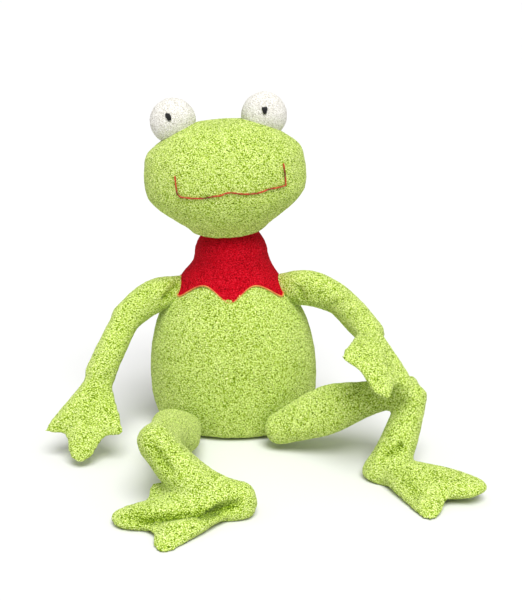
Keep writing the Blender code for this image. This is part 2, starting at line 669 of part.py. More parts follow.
def make_arm(side, name, pose, green, wadding):
    share = SHOULDER_HEIGHT / BODY_HEIGHT
    seat = torso_point(side * math.pi / 2, share, 0.0)
    normal = torso_normal(side * math.pi / 2, share)
    upper_along, fore_along, hand_along = (heading(side * yaw, pitch) for yaw, pitch in pose["headings"])
    elbow_axis = upper_along.cross(fore_along).normalized()
    hand_over = square_to(Vector((side * pose["over"][0], *pose["over"][1:])), hand_along)
    wrist_axis = square_to(hand_along.cross(hand_over), fore_along)

    shoulder = joint(seat, normal * side)
    start = seat - normal * SHOULDER_INSET
    upper = {
        "start": start, "along": upper_along, "length": UPPER_ARM_LENGTH, "width": ARM_WIDTH,
        "thickness": ARM_THICKNESS, "shares": UPPER_ARM_SHARES, "across": elbow_axis,
        "across_end": elbow_axis, "bow": UP * pose["bows"][0], "root_dome": False,
    }
    pieces = covered(f"upper_arm_{name}", limb_form, upper, green, wadding, f"upper_arm_stuffing_{name}")
    plane = half_space(f"shoulder_plane_{name}", seat + normal * TURN_GAP, normal, BODY_WIDTH)
    cut(pieces, [plane])

    elbow = joint(start + upper_along * UPPER_ARM_LENGTH, elbow_axis)
    fore = {
        "start": elbow["pivot"], "along": fore_along, "length": FOREARM_LENGTH, "width": ARM_WIDTH,
        "thickness": ARM_THICKNESS, "shares": FOREARM_SHARES, "across": elbow_axis,
        "across_end": alike(wrist_axis, elbow_axis), "bow": UP * pose["bows"][1], "root_dome": False,
    }
    pieces = covered(f"forearm_{name}", limb_form, fore, green, wadding, f"forearm_stuffing_{name}")
    cut(pieces, hinge_cutters(f"elbow_{name}", upper, elbow, ELBOW_CLOSING_DEG))

    wrist = joint(elbow["pivot"] + fore_along * FOREARM_LENGTH, wrist_axis)
    hand = {
        "start": wrist["pivot"], "along": hand_along, "over": hand_over, "length": HAND_LENGTH,
        "root": WRIST_WIDTH, "root_swell": HAND_ROOT_SHARE, "thickness": HAND_THICKNESS,
        "fan_deg": HAND_FAN_DEG, "fan_shares": (1.0, 1.0), "web": HAND_WEB_SHARE,
        "tips": HAND_TIP_SHARES if side < 0 else HAND_TIP_SHARES[::-1],
        "folds": pose["folds"], "bow": Vector(pose["droop"]),
    }
    pieces = covered(f"hand_{name}", web_form, hand, green, wadding, f"hand_stuffing_{name}")
    cut(pieces, hinge_cutters(f"wrist_{name}", fore, wrist, (WRIST_DEG, -WRIST_DEG)))
    return {f"shoulder_{name}": shoulder, f"elbow_{name}": elbow, f"wrist_{name}": wrist}


def make_leg(side, name, pose, green, wadding):
    share = HIP_HEIGHT / BODY_HEIGHT
    angle = side * math.radians(HIP_ANGLE_DEG)
    outward = torso_normal(angle, share)
    outward = Vector((outward.x, outward.y, 0)).normalized()
    pivot = torso_point(angle, share, 0.0) + outward * (HIP_RADIUS + SEAM_GAP)
    thigh_along, shank_along, foot_along = (heading(side * yaw, pitch) for yaw, pitch in pose["headings"])
    knee_axis = thigh_along.cross(shank_along).normalized()
    ankle_axis = shank_along.cross(foot_along).normalized()

    hip = joint(pivot, thigh_along.cross(UP))
    root = (0.0, 2 * HIP_RADIUS / THIGH_WIDTH, 2 * HIP_RADIUS / THIGH_THICKNESS)
    thigh = {
        "start": pivot, "along": thigh_along, "length": THIGH_LENGTH, "width": THIGH_WIDTH,
        "thickness": THIGH_THICKNESS, "shares": [root, *knee_scaled(THIGH_SHARES, pose["knee_share"], 1.0)],
        "across": knee_axis, "across_end": knee_axis, "bow": UP * pose["bows"][0], "root_dome": True,
    }
    covered(f"thigh_{name}", limb_form, thigh, green, wadding, f"thigh_stuffing_{name}")

    knee = joint(pivot + thigh_along * THIGH_LENGTH, knee_axis)
    shank = {
        "start": knee["pivot"], "along": shank_along, "length": SHANK_LENGTH, "width": SHANK_WIDTH,
        "thickness": SHANK_THICKNESS, "shares": knee_scaled(SHANK_SHARES, pose["knee_share"], 0.0),
        "across": knee_axis, "across_end": alike(ankle_axis, knee_axis), "bow": UP * pose["bows"][1],
        "root_dome": False,
    }
    pieces = covered(f"shank_{name}", limb_form, shank, green, wadding, f"shank_stuffing_{name}")
    cut(pieces, hinge_cutters(f"knee_{name}", thigh, knee, ()))

    ankle = joint(knee["pivot"] + shank_along * SHANK_LENGTH, ankle_axis)
    foot = {
        "start": ankle["pivot"], "along": foot_along, "over": square_to(Vector(pose["over"]), foot_along),
        "length": SOLE_LENGTH, "root": ANKLE_WIDTH, "root_swell": SOLE_ROOT_SHARE,
        "thickness": SOLE_THICKNESS, "fan_deg": SOLE_FAN_DEG, "fan_shares": pose["fan_shares"],
        "web": SOLE_WEB_SHARE, "tips": pose["tips"], "folds": pose["folds"], "bow": Vector(pose["droop"]),
    }
    pieces = covered(f"foot_{name}", web_form, foot, green, wadding, f"foot_stuffing_{name}")
    cut(pieces, hinge_cutters(f"ankle_{name}", shank, ankle, ()))
    return {f"hip_{name}": hip, f"knee_{name}": knee, f"ankle_{name}": ankle}


def main():
    clear_scene()
    green = cloth("terry_green", GREEN)
    wadding = cloth("wadding", WADDING, 1.0)
    make_torso(green, cloth("terry_red", RED), wadding)
    make_head(green, wadding)
    make_eyes(cloth("terry_white", WHITE), cloth("felt_black", BLACK, 0.8))
    make_mouth(cloth("thread_orange", ORANGE, 0.6))
    joints = {"neck": joint(neck_pivot(), Vector((1, 0, 0)))}
    joints |= make_arm(-1, "right", RIGHT_ARM_POSE, green, wadding)
    joints |= make_arm(1, "left", LEFT_ARM_POSE, green, wadding)
    joints |= make_leg(-1, "right", RIGHT_LEG_POSE, green, wadding)
    joints |= make_leg(1, "left", LEFT_LEG_POSE, green, wadding)
    for name, hinge in joints.items():
        pivot, axis = (tuple(round(value, 5) for value in hinge[key]) for key in ("pivot", "axis"))
        print(f"{name}: pivot {pivot} m, axis {axis}")


main()
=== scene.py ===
# A seated plush frog of terry cloth: padded skins with looped pile. The body's and head's skins, with their collar,
# eyes and stitches, ride on the frame's bodies; the limbs' pieces ride none.
# Metres, +Z up. The frog faces -Y and its left side is +X.
import itertools
import json
import math

import bpy
import bmesh
import numpy as np
from mathutils import Matrix, Vector


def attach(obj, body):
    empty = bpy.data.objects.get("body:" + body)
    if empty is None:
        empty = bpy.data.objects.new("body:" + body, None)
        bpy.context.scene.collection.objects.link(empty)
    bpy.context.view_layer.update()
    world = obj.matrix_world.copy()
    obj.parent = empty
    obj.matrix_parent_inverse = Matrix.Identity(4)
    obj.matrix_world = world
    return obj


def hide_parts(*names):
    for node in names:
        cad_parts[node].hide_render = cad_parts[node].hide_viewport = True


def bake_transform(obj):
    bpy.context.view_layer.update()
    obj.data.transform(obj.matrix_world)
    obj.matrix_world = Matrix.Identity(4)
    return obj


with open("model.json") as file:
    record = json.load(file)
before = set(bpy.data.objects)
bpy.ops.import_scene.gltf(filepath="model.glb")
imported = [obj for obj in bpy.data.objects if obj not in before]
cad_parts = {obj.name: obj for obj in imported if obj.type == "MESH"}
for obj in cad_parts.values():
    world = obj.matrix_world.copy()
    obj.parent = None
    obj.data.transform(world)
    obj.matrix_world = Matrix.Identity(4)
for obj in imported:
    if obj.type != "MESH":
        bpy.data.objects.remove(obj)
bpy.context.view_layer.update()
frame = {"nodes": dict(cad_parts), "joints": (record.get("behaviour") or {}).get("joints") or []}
joints = {entry["name"]: np.array(entry["pos_m"], float) for entry in frame["joints"]}
up = np.array([0.0, 0.0, 1.0])

mm = 0.001


# Vectors and tables


def unit(vector):
    return vector / np.linalg.norm(vector, axis=-1, keepdims=True)


def squareTo(direction, line):
    # What is left of the direction when its share along the line is taken off, one unit long.
    return unit(direction - line * np.sum(direction * line, axis=-1, keepdims=True))


def heading(yawDegrees, pitchDegrees):
    # Forwards, turned to the frog's left by the yaw and tilted up by the pitch.
    yaw, pitch = math.radians(yawDegrees), math.radians(pitchDegrees)
    return np.array([math.sin(yaw) * math.cos(pitch), -math.cos(yaw) * math.cos(pitch), math.sin(pitch)])


def smoothTable(table, at):
    # Cubic Hermite curve through the table's rows, read at the shares in at.
    rows = np.array(table, float)
    at = np.asarray(at, float)
    last = len(rows) - 1
    row = np.clip(np.searchsorted(rows[:, 0], at, side="left") - 1, 0, last - 1)
    low, high = rows[row], rows[row + 1]
    before, after = rows[np.maximum(row - 1, 0)], rows[np.minimum(row + 2, last)]
    width = high[..., :1] - low[..., :1]
    t = np.clip((at[..., None] - low[..., :1]) / width, 0.0, 1.0)
    rise0 = (high - before) / (high[..., :1] - before[..., :1]) * width
    rise1 = (after - low) / (after[..., :1] - low[..., :1]) * width
    curve = (2 * t**3 - 3 * t**2 + 1) * low + (t**3 - 2 * t**2 + t) * rise0
    curve += (-2 * t**3 + 3 * t**2) * high + (t**3 - t**2) * rise1
    return np.moveaxis(curve[..., 1:], -1, 0)


def smoothStep(low, high, value):
    # 0 up to low, 1 from high on, and three squares less two cubes between.
    t = np.clip((value - low) / (high - low), 0.0, 1.0)
    return t * t * (3 - 2 * t)


# Meshes


def ringFaces(rows, columns):
    # Quads of a closed tube whose points run ring by ring.
    row, column = np.meshgrid(np.arange(rows - 1), np.arange(columns), indexing="ij")
    following = (column + 1) % columns
    low, high = row * columns, (row + 1) * columns
    corners = (low + column, low + following, high + following, high + column)
    return np.stack(corners, axis=-1).reshape(-1, 4)


def closedForm(rings):
    # (points, quads, triangles) of a tube with a fan over each end.
    rows, columns, _ = rings.shape
    points = np.concatenate([rings.reshape(-1, 3), [rings[0].mean(0)], [rings[-1].mean(0)]])
    column = np.arange(columns)
    following = (column + 1) % columns
    low, high = rows * columns, rows * columns + 1
    last = (rows - 1) * columns
    fans = [np.stack([following, column, np.full(columns, low)], 1),
            np.stack([last + column, last + following, np.full(columns, high)], 1)]
    return points, ringFaces(rows, columns), np.concatenate(fans)


def addObject(name, data):
    made = bpy.data.objects.new(name, data)
    bpy.context.scene.collection.objects.link(made)
    return made


def makeMesh(name, forms, turn=True):
    # One mesh of all the forms, each (points, quads, triangles), with its faces turned outwards where turn says so.
    points, quads, triangles, offset = [], [], [], 0
    for formPoints, formQuads, formTriangles in forms:
        points.append(formPoints)
        quads.append(formQuads + offset)
        triangles.append(formTriangles + offset)
        offset += len(formPoints)
    points, quads, triangles = np.concatenate(points), np.concatenate(quads), np.concatenate(triangles)
    mesh = bpy.data.meshes.new(name)
    mesh.vertices.add(len(points))
    mesh.vertices.foreach_set("co", points.astype(np.float32).ravel())
    mesh.loops.add(quads.size + triangles.size)
    corners = np.concatenate([quads.ravel(), triangles.ravel()])
    mesh.loops.foreach_set("vertex_index", corners.astype(np.int32))
    mesh.polygons.add(len(quads) + len(triangles))
    sizes = np.concatenate([np.full(len(quads), 4), np.full(len(triangles), 3)])
    mesh.polygons.foreach_set("loop_start", (np.cumsum(sizes) - sizes).astype(np.int32))
    mesh.update(calc_edges=True)
    made = addObject(name, mesh)
    if turn:
        outwards(made)
    return made


def outwards(made):
    bm = bmesh.new()
    bm.from_mesh(made.data)
    bmesh.ops.recalc_face_normals(bm, faces=bm.faces)
    bm.to_mesh(made.data)
    bm.free()


def readPoints(made, kind="co"):
    points = np.empty(len(made.data.vertices) * 3, np.float32)
    made.data.vertices.foreach_get(kind, points)
    return points.reshape(-1, 3).astype(float)


def writePoints(made, points):
    made.data.vertices.foreach_set("co", points.astype(np.float32).ravel())
    made.data.update()


def readSkin(made):
    return readPoints(made), readPoints(made, "normal")


def writeValues(made, name, values):
    # One number for each point, kept on the mesh under this name.
    made.data.attributes.new(name, "FLOAT", "POINT").data.foreach_set("value", values.astype(np.float32))


def readValues(made, name):
    values = np.empty(len(made.data.vertices), np.float32)
    made.data.attributes[name].data.foreach_get("value", values)
    return values


def bake(made, modifiers):
    # Adds the modifiers, keeps what they make as the mesh, and leaves none behind.
    for kind, settings in modifiers:
        modifier = made.modifiers.new(kind.lower(), kind)
        for name, value in settings.items():
            setattr(modifier, name, value)
    bpy.context.view_layer.update()
    mesh = bpy.data.meshes.new_from_object(made.evaluated_get(bpy.context.evaluated_depsgraph_get()))
    made.modifiers.clear()
    old = made.data
    made.data = mesh
    mesh.name = made.name
    bpy.data.meshes.remove(old)
    return made


def keepAbove(made, lowest):
    # Flattens what lies below this height, where the skin rests on the floor.
    points = readPoints(made)
    points[:, 2] = np.maximum(points[:, 2], lowest)
    writePoints(made, points)


def subdivide(made, levels):
    bake(made, [("SUBSURF", {"levels": levels, "render_levels": levels})])


def inflate(made, cap, pressure=4.0, frames=20):
    # Cloth under pressure from inside, with each point's way capped.
    before = readPoints(made)
    modifier = made.modifiers.new("cloth", "CLOTH")
    modifier.settings.use_pressure = True
    modifier.settings.uniform_pressure_force = pressure
    modifier.settings.effector_weights.gravity = 0.0
    modifier.settings.quality = 5
    scene = bpy.context.scene
    for step in range(1, frames + 1):
        scene.frame_set(step)
    evaluated = made.evaluated_get(bpy.context.evaluated_depsgraph_get())
    after = np.empty(len(evaluated.data.vertices) * 3, np.float32)
    evaluated.data.vertices.foreach_get("co", after)
    way = after.reshape(-1, 3) - before
    made.modifiers.clear()
    scene.frame_set(1)
    length = np.linalg.norm(way, axis=1, keepdims=True)
    way *= np.minimum(1.0, cap / np.maximum(length, 1e-9))
    writePoints(made, before + way)


# Pile: loops of thread, as rounded nubs on a jittered lattice

# A nub's spacing and height, the slow rise and fall over many nubs, and shade: how much painted shade a fold puts on
# the loops, taken off the height that colours them. slope is the share of the spacing over which a nub's dome rises,
# and slow the spacing of the slow waves in nubs.
pile = {
    "spacing": 0.0018, "height": 0.0004, "fluff": 0.0004, "shade": 5.0, "seed": 11,
    "slope": 0.55, "lowest": 0.45, "range": 0.55, "slow": 4.5, "slowSeed": 5,
}


def scrambled(cells, seed):
    # Three repeatable numbers from 0 to 1 for each lattice cell.
    mixed = cells[..., 0] * 73856093 ^ cells[..., 1] * 19349663 ^ cells[..., 2] * 83492791 ^ (seed * 2654435761)
    found = []
    for shift in (13, 7, 17):
        mixed = (mixed ^ (mixed >> shift)) * 1274126177 & 0x7FFFFFFF
        found.append((mixed & 0xFFFFF) / 0xFFFFF)
    return np.stack(found, axis=-1)


def nubs(points, spacing, seed):
    # Nearest two nub middles: (distance to the first, distance to the second, the first's own random share).
    base = np.floor(points / spacing).astype(np.int64)
    first = np.full(len(points), np.inf)
    second = np.full(len(points), np.inf)
    share = np.zeros(len(points))
    for offset in itertools.product((-1, 0, 1), repeat=3):
        cell = base + np.array(offset)
        random = scrambled(cell, seed)
        distance = np.linalg.norm((cell + random) * spacing - points, axis=1)
        nearer = distance < first
        second = np.where(nearer, first, np.minimum(second, distance))
        share = np.where(nearer, random[:, 0], share)
        first = np.where(nearer, distance, first)
    return first, second, share


def addPile(made, settings=pile):
    points, normals = readSkin(made)
    first, second, share = nubs(points, settings["spacing"], settings["seed"])
    # A nub rises as a dome from the line where it meets its neighbour, and each has its own height.
    dome = np.clip((second - first) / (settings["spacing"] * settings["slope"]), 0.0, 1.0)
    height = np.sqrt(dome * (2 - dome)) * (settings["lowest"] + settings["range"] * share)
    slowSpacing = settings["spacing"] * settings["slow"]
    slow, _, _ = nubs(points, slowSpacing, settings["seed"] + settings["slowSeed"])
    lift = settings["height"] * (height - settings["lowest"]) + settings["fluff"] * (slow / slowSpacing - 0.5)
    writePoints(made, points + normals * lift[:, None])
    if "fold" in made.data.attributes:
        # In a fold the loops get painted shade: their height, which only colours them from here on, is made less.
        height = height - settings["shade"] * readValues(made, "fold")
    writeValues(made, "pile", height)


# Torso

# table rows: share of the height, then half width and half depth as shares of what they are beyond the neck.
# creases: a line of points in millimetres on the skin, its depth and its width in millimetres. The depth also sets
# the painted shade in the crease.
torsoSize = {
    "width": 0.140, "depth": 0.108, "height": 0.150, "neck": 0.032, "lean": -0.0035,
    "hem": 0.1180, "rise": 0.0120, "petals": 6, "softness": 0.30,
    "cord": 0.0013, "cordProud": 0.0002, "cordRings": 700,
    "tuck": 0.0022, "tuckFrom": -0.004, "tuckTo": 0.008, "pinch": 0.0036, "pinchFrom": 0.87, "pinchTo": 0.97,
    "columns": 96, "rows": 90, "top": 0.985, "voxel": 0.0036, "swell": 0.0020, "lowest": 0.0006,
    "creases": (
        (((0.3, -38.2, 120.4), (0.4, -49.0, 89.9), (1.1, -53.5, 57.2), (1.7, -53.2, 17.7), (1.8, -49.0, 8.0)),
         0.6, 1.2),
    ),
    "table": (
        (0.000, 0.500, 0.390), (0.014, 0.640, 0.570), (0.043, 0.780, 0.740), (0.107, 0.905, 0.890),
        (0.213, 0.995, 0.985), (0.413, 0.990, 0.965), (0.600, 0.840, 0.775), (0.713, 0.645, 0.520),
        (0.780, 0.465, 0.336), (0.867, 0.235, 0.155), (0.947, 0.058, 0.030), (1.000, 0.000, 0.000),
    ),
}
collarSize = {
    "columns": 320, "rows": 40, "domeRows": 44, "domeTop": 88, "sunk": 0.0018, "sunkFrom": 0.6,
    "under": 0.0016, "underRows": (0, 3, 8), "seed": 23,
}


def torsoHalves(share):
    # Half width and half depth: the neck's radius, and the table's share of what lies beyond it.
    size = torsoSize
    width, depth = smoothTable(size["table"], share)
    return (size["neck"] + (size["width"] / 2 - size["neck"]) * width,
            size["neck"] + (size["depth"] / 2 - size["neck"]) * depth)


def onRight(angle):
    # 0 on the frog's left, rising to 1 on its right.
    return smoothStep(0.2, -0.8, np.sin(angle))


def torsoPoint(angle, share, inset=0.0):
    # An ellipse at each height, from the front round to the frog's left: half width times the angle's sine across,
    # half depth times its cosine forwards. It leans with the height squared, and the neck is drawn in on the right.
    size = torsoSize
    width, depth = torsoHalves(share)
    pinch = size["pinch"] * onRight(angle) * smoothStep(size["pinchFrom"], size["pinchTo"], share)
    across = size["lean"] * share**2 + (width - inset) * np.sin(angle) + pinch
    return np.stack([across, -(depth - inset) * np.cos(angle), size["height"] * share + 0 * angle], axis=-1)


def hemShare(angle):
    # The hem's height as a share: it rises between the petals' blunt tips as the softened size of a sine.
    size = torsoSize
    wave = np.hypot(np.sin(angle * size["petals"] / 2), size["softness"]) - size["softness"]
    highest = math.hypot(1.0, size["softness"]) - size["softness"]
    return (size["hem"] + size["rise"] * wave / highest) / size["height"]


def around(columns):
    return np.linspace(0, 2 * np.pi, columns, endpoint=False)


def makeTorso():
    size = torsoSize
    angle, share = np.meshgrid(around(size["columns"]), np.linspace(0.0, size["top"], size["rows"]))
    # The skin goes in under the collar.
    above = (share - hemShare(angle)) * size["height"]
    tuck = size["tuck"] * smoothStep(size["tuckFrom"], size["tuckTo"], above)
    made = makeMesh("torso", [closedForm(torsoPoint(angle, share, tuck))])
    bake(made, [("REMESH", {"mode": "VOXEL", "voxel_size": size["voxel"]})])
    inflate(made, size["swell"])
    subdivide(made, 2)
    keepAbove(made, size["lowest"])
    addCreases(made, size["creases"])
    addPile(made)
    return made


def makeCollar():
    # A band on the torso from its hem to the neck's top, and a dome of latitudes round the head's hinge inside the
    # head's opening.
    size, collar = torsoSize, collarSize
    angle = around(collar["columns"])
    t = np.linspace(0, 1, collar["rows"])[:, None]
    share = hemShare(angle)[None] + (1.0 - hemShare(angle)[None]) * t
    angles = np.broadcast_to(angle, share.shape)
    band = torsoPoint(angles, share)
    latitude = np.radians(np.linspace(0, collar["domeTop"], collar["domeRows"]))[1:, None]
    spoke = np.stack([np.sin(angle), -np.cos(angle), 0 * angle], axis=-1)
    radius = size["neck"] - collar["sunk"] * smoothStep(0.0, collar["sunkFrom"], latitude[..., None])
    dome = spoke[None] * np.cos(latitude)[..., None] + up * np.sin(latitude)[..., None]
    dome = joints["head_turn"] + dome * radius
    dome[..., 0] += size["pinch"] * onRight(angle) * np.cos(latitude)
    # The hem turns under: a few rows go back up inside the outer ones.
    under = torsoPoint(angles, share, collar["under"])[list(collar["underRows"])][::-1]
    made = makeMesh("collar", [closedForm(np.concatenate([under, band, dome]))])
    addPile(made, {**pile, "seed": collar["seed"]})
    return made


def makeEdging():
    # The hem's overlock stitches: a thin soft cord where the collar ends.
    angle = np.linspace(0, 2 * np.pi, torsoSize["cordRings"])
    line = torsoPoint(angle, hemShare(angle), -torsoSize["cordProud"])
    return makeMesh("edging", [threadForm(line, torsoSize["cord"] / 2)])


# Head

# table rows: share of the height, then half width, depth to the front and depth to the back as shares of the most.
headSize = {
    "width": 0.133, "front": 0.050, "back": 0.043, "height": 0.0976, "chin": 0.0147, "forward": 0.006,
    "roll": 3.2, "yaw": 4.0, "tuck": 0.0045, "tuckTo": 0.3, "forwardTo": 0.4,
    "columns": 96, "rows": 64, "top": 0.9995, "voxel": 0.0034, "swell": 0.0020, "seed": 31,
    "table": (
        (0.000, 0.438, 0.582, 0.677), (0.080, 0.502, 0.660, 0.735), (0.150, 0.611, 0.770, 0.820),
        (0.210, 0.715, 0.845, 0.870), (0.290, 0.852, 0.920, 0.930), (0.390, 0.965, 0.972, 0.975),
        (0.510, 0.990, 1.000, 1.000), (0.630, 0.978, 0.980, 0.980), (0.750, 0.931, 0.905, 0.900),
        (0.860, 0.727, 0.755, 0.745), (0.940, 0.534, 0.530, 0.520), (0.985, 0.309, 0.270, 0.270),
        (1.000, 0.000, 0.000, 0.000),
    ),
}


def headMatrix():
    # The head's place over its hinge, turned to its left and tilted to its right.
    place = Matrix.Translation(Vector(joints["head_turn"]) + Vector((0, 0, headSize["chin"])))
    yaw = Matrix.Rotation(math.radians(headSize["yaw"]), 4, "Z")
    return np.array(place @ yaw @ Matrix.Rotation(-math.radians(headSize["roll"]), 4, "Y"))


def onHead(points):
    matrix = headMatrix()
    return points @ matrix[:3, :3].T + matrix[:3, 3]


def headPoint(angle, share):
    # A half ellipse to the front and one to the back at each height. Over its lowest rows, which are drawn up round
    # the neck, the head comes forward.
    size = headSize
    width, front, back = smoothTable(size["table"], share)
    depth = np.where(np.cos(angle) > 0, size["front"] * front, size["back"] * back)
    forward = size["forward"] * np.minimum(share / size["forwardTo"], 1.0)
    tuck = size["tuck"] * (1 - np.minimum(share / size["tuckTo"], 1.0)) ** 2
    across = size["width"] / 2 * width * np.sin(angle)
    return onHead(np.stack([across, -depth * np.cos(angle) - forward, size["height"] * share + tuck], -1))


def makeHead():
    size = headSize
    angle, share = np.meshgrid(around(size["columns"]), np.sin(np.linspace(0, np.pi / 2, size["rows"])))
    made = makeMesh("head", [closedForm(headPoint(angle, np.minimum(share, size["top"])))])
    bake(made, [("REMESH", {"mode": "VOXEL", "voxel_size": size["voxel"]})])
    inflate(made, size["swell"])
    subdivide(made, 2)
    addPile(made, {**pile, "seed": size["seed"]})
    return made


# Eyes and pupils

# radius across and upwards, depth to the front.
eyeSize = {
    "radius": 0.0185, "depth": 0.0155, "spacing": 0.0735, "aside": -0.0022, "rise": 0.0002, "back": 0.006,
    "loops": 0.0019, "seed": 41,
}
# proud is how far a stitch lies off the ball, and bulge how much further its middle stands.
pupilSize = {
    "bulge": 0.0005, "proud": 0.0006, "waver": 0.00012,
    "rise": 0.0060, "asides": {"right": -0.0033, "left": 0.0}, "thread": 0.0009,
    # The stitches of each pupil, side by side: (across, low end, high end) in millimetres from its middle.
    "right": (
        (-1.9, -0.7, 2.9), (-1.2, -1.7, 3.1), (-0.5, -2.9, 3.0), (0.2, -3.2, 2.9), (0.9, -3.3, 2.6), (1.6, -3.1, 1.4),
    ),
    "left": (
        (-2.0, -0.1, 2.6), (-1.3, -2.7, 2.8), (-0.6, -3.0, 2.9), (0.1, -3.1, 2.9), (0.8, -2.9, 2.8), (1.5, -0.6, 2.7),
    ),
}


def eyeMiddle(side):
    # side is 1 on the frog's left and -1 on its right.
    size = eyeSize
    across = size["aside"] + side * size["spacing"] / 2
    return onHead(np.array([[across, size["back"] - headSize["forward"], headSize["height"] + size["rise"]]]))[0]


def faceAxes():
    # The head's own directions: to its left, forwards and up.
    turn = headMatrix()[:3, :3]
    return turn @ np.array([1.0, 0, 0]), turn @ np.array([0, -1.0, 0]), turn @ up


def makeEye(side, name):
    # An ellipsoid: radius times the unit ball across and upwards, depth times it forwards.
    bm = bmesh.new()
    bmesh.ops.create_icosphere(bm, subdivisions=6, radius=1.0)
    mesh = bpy.data.meshes.new("eye_" + name)
    bm.to_mesh(mesh)
    bm.free()
    made = addObject("eye_" + name, mesh)
    across, facing, upright = faceAxes()
    ball = readPoints(made)
    radius, depth = eyeSize["radius"], eyeSize["depth"]
    points = eyeMiddle(side) + ball[:, :1] * across * radius + ball[:, 1:2] * facing * depth
    writePoints(made, points + ball[:, 2:] * upright * radius)
    outwards(made)
    addPile(made, {**pile, "seed": eyeSize["seed"] + side, "spacing": eyeSize["loops"]})
    return made


def threadForm(line, radius, sides=8):
    # A round thread along a line, tapered to a soft end at both ends.
    line = np.asarray(line, float)
    along = unit(np.gradient(line, axis=0))
    side = squareTo(np.array([0.31, 0.17, 0.93]), along)  # from a way that no thread here runs
    other = np.cross(along, side)
    turn = np.linspace(0, 2 * np.pi, sides, endpoint=False)
    t = np.linspace(-1, 1, len(line))
    swell = (1 - np.abs(t) ** 6) ** 0.5 * radius + radius * 0.08
    spoke = side[:, None] * np.cos(turn)[None, :, None] + other[:, None] * np.sin(turn)[None, :, None]
    return closedForm(line[:, None] + spoke * swell[:, None, None])


def makePupil(side, name):
    # Satin stitches, up and down over one another, on the ball's own curve.
    across, facing, upright = faceAxes()
    size = pupilSize
    forms = []
    for place, low, high in size[name]:
        t = np.linspace(-1, 1, 13)
        x = size["asides"][name] + place * mm + size["waver"] * np.sin(3.0 * t + place)
        z = size["rise"] + ((high + low) / 2 + (high - low) / 2 * t) * mm
        # Depth of the ellipsoid there; each stitch bulges between its ends.
        rise = eyeSize["depth"] * np.sqrt(1 - (x**2 + z**2) / eyeSize["radius"] ** 2)
        lift = size["bulge"] * (1 - t**4) + size["proud"]
        line = eyeMiddle(side) + across * x[:, None] + upright * z[:, None] + facing * (rise + lift)[:, None]
        forms.append(threadForm(line, size["thread"] / 2))
    return makeMesh("pupil_" + name, forms)


# Mouth

# line: (across, height) on the face in millimetres, corner to corner. A stitch's pitch, and how far neighbours lap.
mouthSize = {
    "thread": 0.0012, "stitch": 0.0052, "lap": 0.0004, "proud": 0.0007, "bulge": 0.0004,
    "line": (
        (-40.4, 62.3), (-40.2, 54.5), (-39.6, 47.7), (-37.0, 45.4), (-27.7, 44.6), (-19.8, 44.6), (-11.9, 45.9),
        (-5.9, 46.4), (-2.7, 47.9), (1.9, 48.2), (8.9, 46.6), (15.4, 45.7), (22.0, 45.5), (26.1, 46.1),
        (32.2, 47.6), (38.3, 47.5), (45.9, 47.9), (45.7, 56.4), (44.9, 65.6),
    ),
}


def onFace(across, height, lift):
    # The point of the head's front half at this place across and this height, a little off the skin.
    size = headSize
    width, front, _ = smoothTable(size["table"], height / size["height"])
    sine = across / (size["width"] / 2 * width + lift)
    forward = size["forward"] * np.minimum(height / size["height"] / size["forwardTo"], 1.0)
    depth = (size["front"] * front + lift) * np.sqrt(1 - sine**2) + forward
    return onHead(np.stack([across, -depth, height], -1))


def makeMouth():
    # One line of short stitches, each bulging a little between its ends.
    size = mouthSize
    corners = np.array(size["line"]) * mm
    lengths = np.concatenate([[0], np.cumsum(np.linalg.norm(np.diff(corners, axis=0), axis=1))])
    count = int(round(lengths[-1] / size["stitch"]))
    pitch = lengths[-1] / count
    forms = []
    for k in range(count):
        t = np.linspace(0, 1, 9)
        at = pitch * k - size["lap"] + (pitch + 2 * size["lap"]) * t
        across, height = (np.interp(at, lengths, corners[:, axis]) for axis in (0, 1))
        line = onFace(across, height, size["proud"])
        line += unit(line - headMatrix()[:3, 3]) * (size["bulge"] * np.sin(np.pi * t))[:, None]
        forms.append(threadForm(line, size["thread"] / 2))
    return makeMesh("mouth", forms)


# Limbs

# Tables of an arm or leg: share of the link's length, then width and thickness as shares of the limb's own.
armSize = {
    "width": 0.0309, "thickness": 0.0254, "inset": 0.0060, "shoulder": 0.1205,
    "upper": ((0.0, 1.02, 1.01), (0.5, 1.06, 1.10), (1.0, 0.93, 1.01)),
    "fore": ((0.0, 0.86, 0.91), (0.5, 0.90, 0.95), (1.0, 0.96, 0.82)),
    "hand": {"length": 0.0672, "root": 0.0194, "swell": 0.48, "thickness": 0.0120, "fan": 28.6, "web": 0.797},
}
legSize = {
    "width": 0.0318, "thickness": 0.0358, "shankThickness": 0.0302,
    "thigh": ((0.0, 0.881, 0.782), (0.35, 0.94, 1.19), (0.7, 0.91, 0.85), (1.0, 0.82, 0.90)),
    "shank": ((0.0, 0.92, 0.91), (0.45, 1.05, 1.11), (1.0, 0.79, 1.24)),
    "foot": {"length": 0.0866, "root": 0.0227, "swell": 0.20, "thickness": 0.0175, "fan": 35.4, "web": 0.727},
}
# A hand's or foot's outline, in shares from -1 at one edge to 1 at the other. places and narrow: its toes and their
# width. corner: where the outline starts to draw in, to edge of its reach. fold: the share of the length over which
# its sides fold. valley: how much thinner the web is between the toes.
toeSize = {
    "places": (-0.86, 0.0, 0.86), "narrow": 0.33, "corner": 0.86, "cornerWidth": 0.14, "edge": 0.86, "fold": 0.34,
    "valley": 0.30, "valleyPlace": 0.43, "valleyWidth": 0.16, "valleyFrom": 0.25, "valleyTo": 0.8,
    "columns": 41, "rows": 30, "lowest": 0.0008,
}
tubeSize = {"rows": 22, "domeRows": 7, "domeFrom": 88, "domeTo": 12, "columns": 32, "inset": 0.0003}
# foldDepth, in millimetres, is how deep a crease is where its painted shade is full, and creaseEnds where along it it
# fades.
skinSize = {
    "voxel": 0.0026, "smoothing": 6, "swell": 0.0015, "lowest": 0.0005, "webReach": 1.6,
    "foldDepth": 4.0, "creaseEnds": (0.18, 0.82), "seed": 50,
}
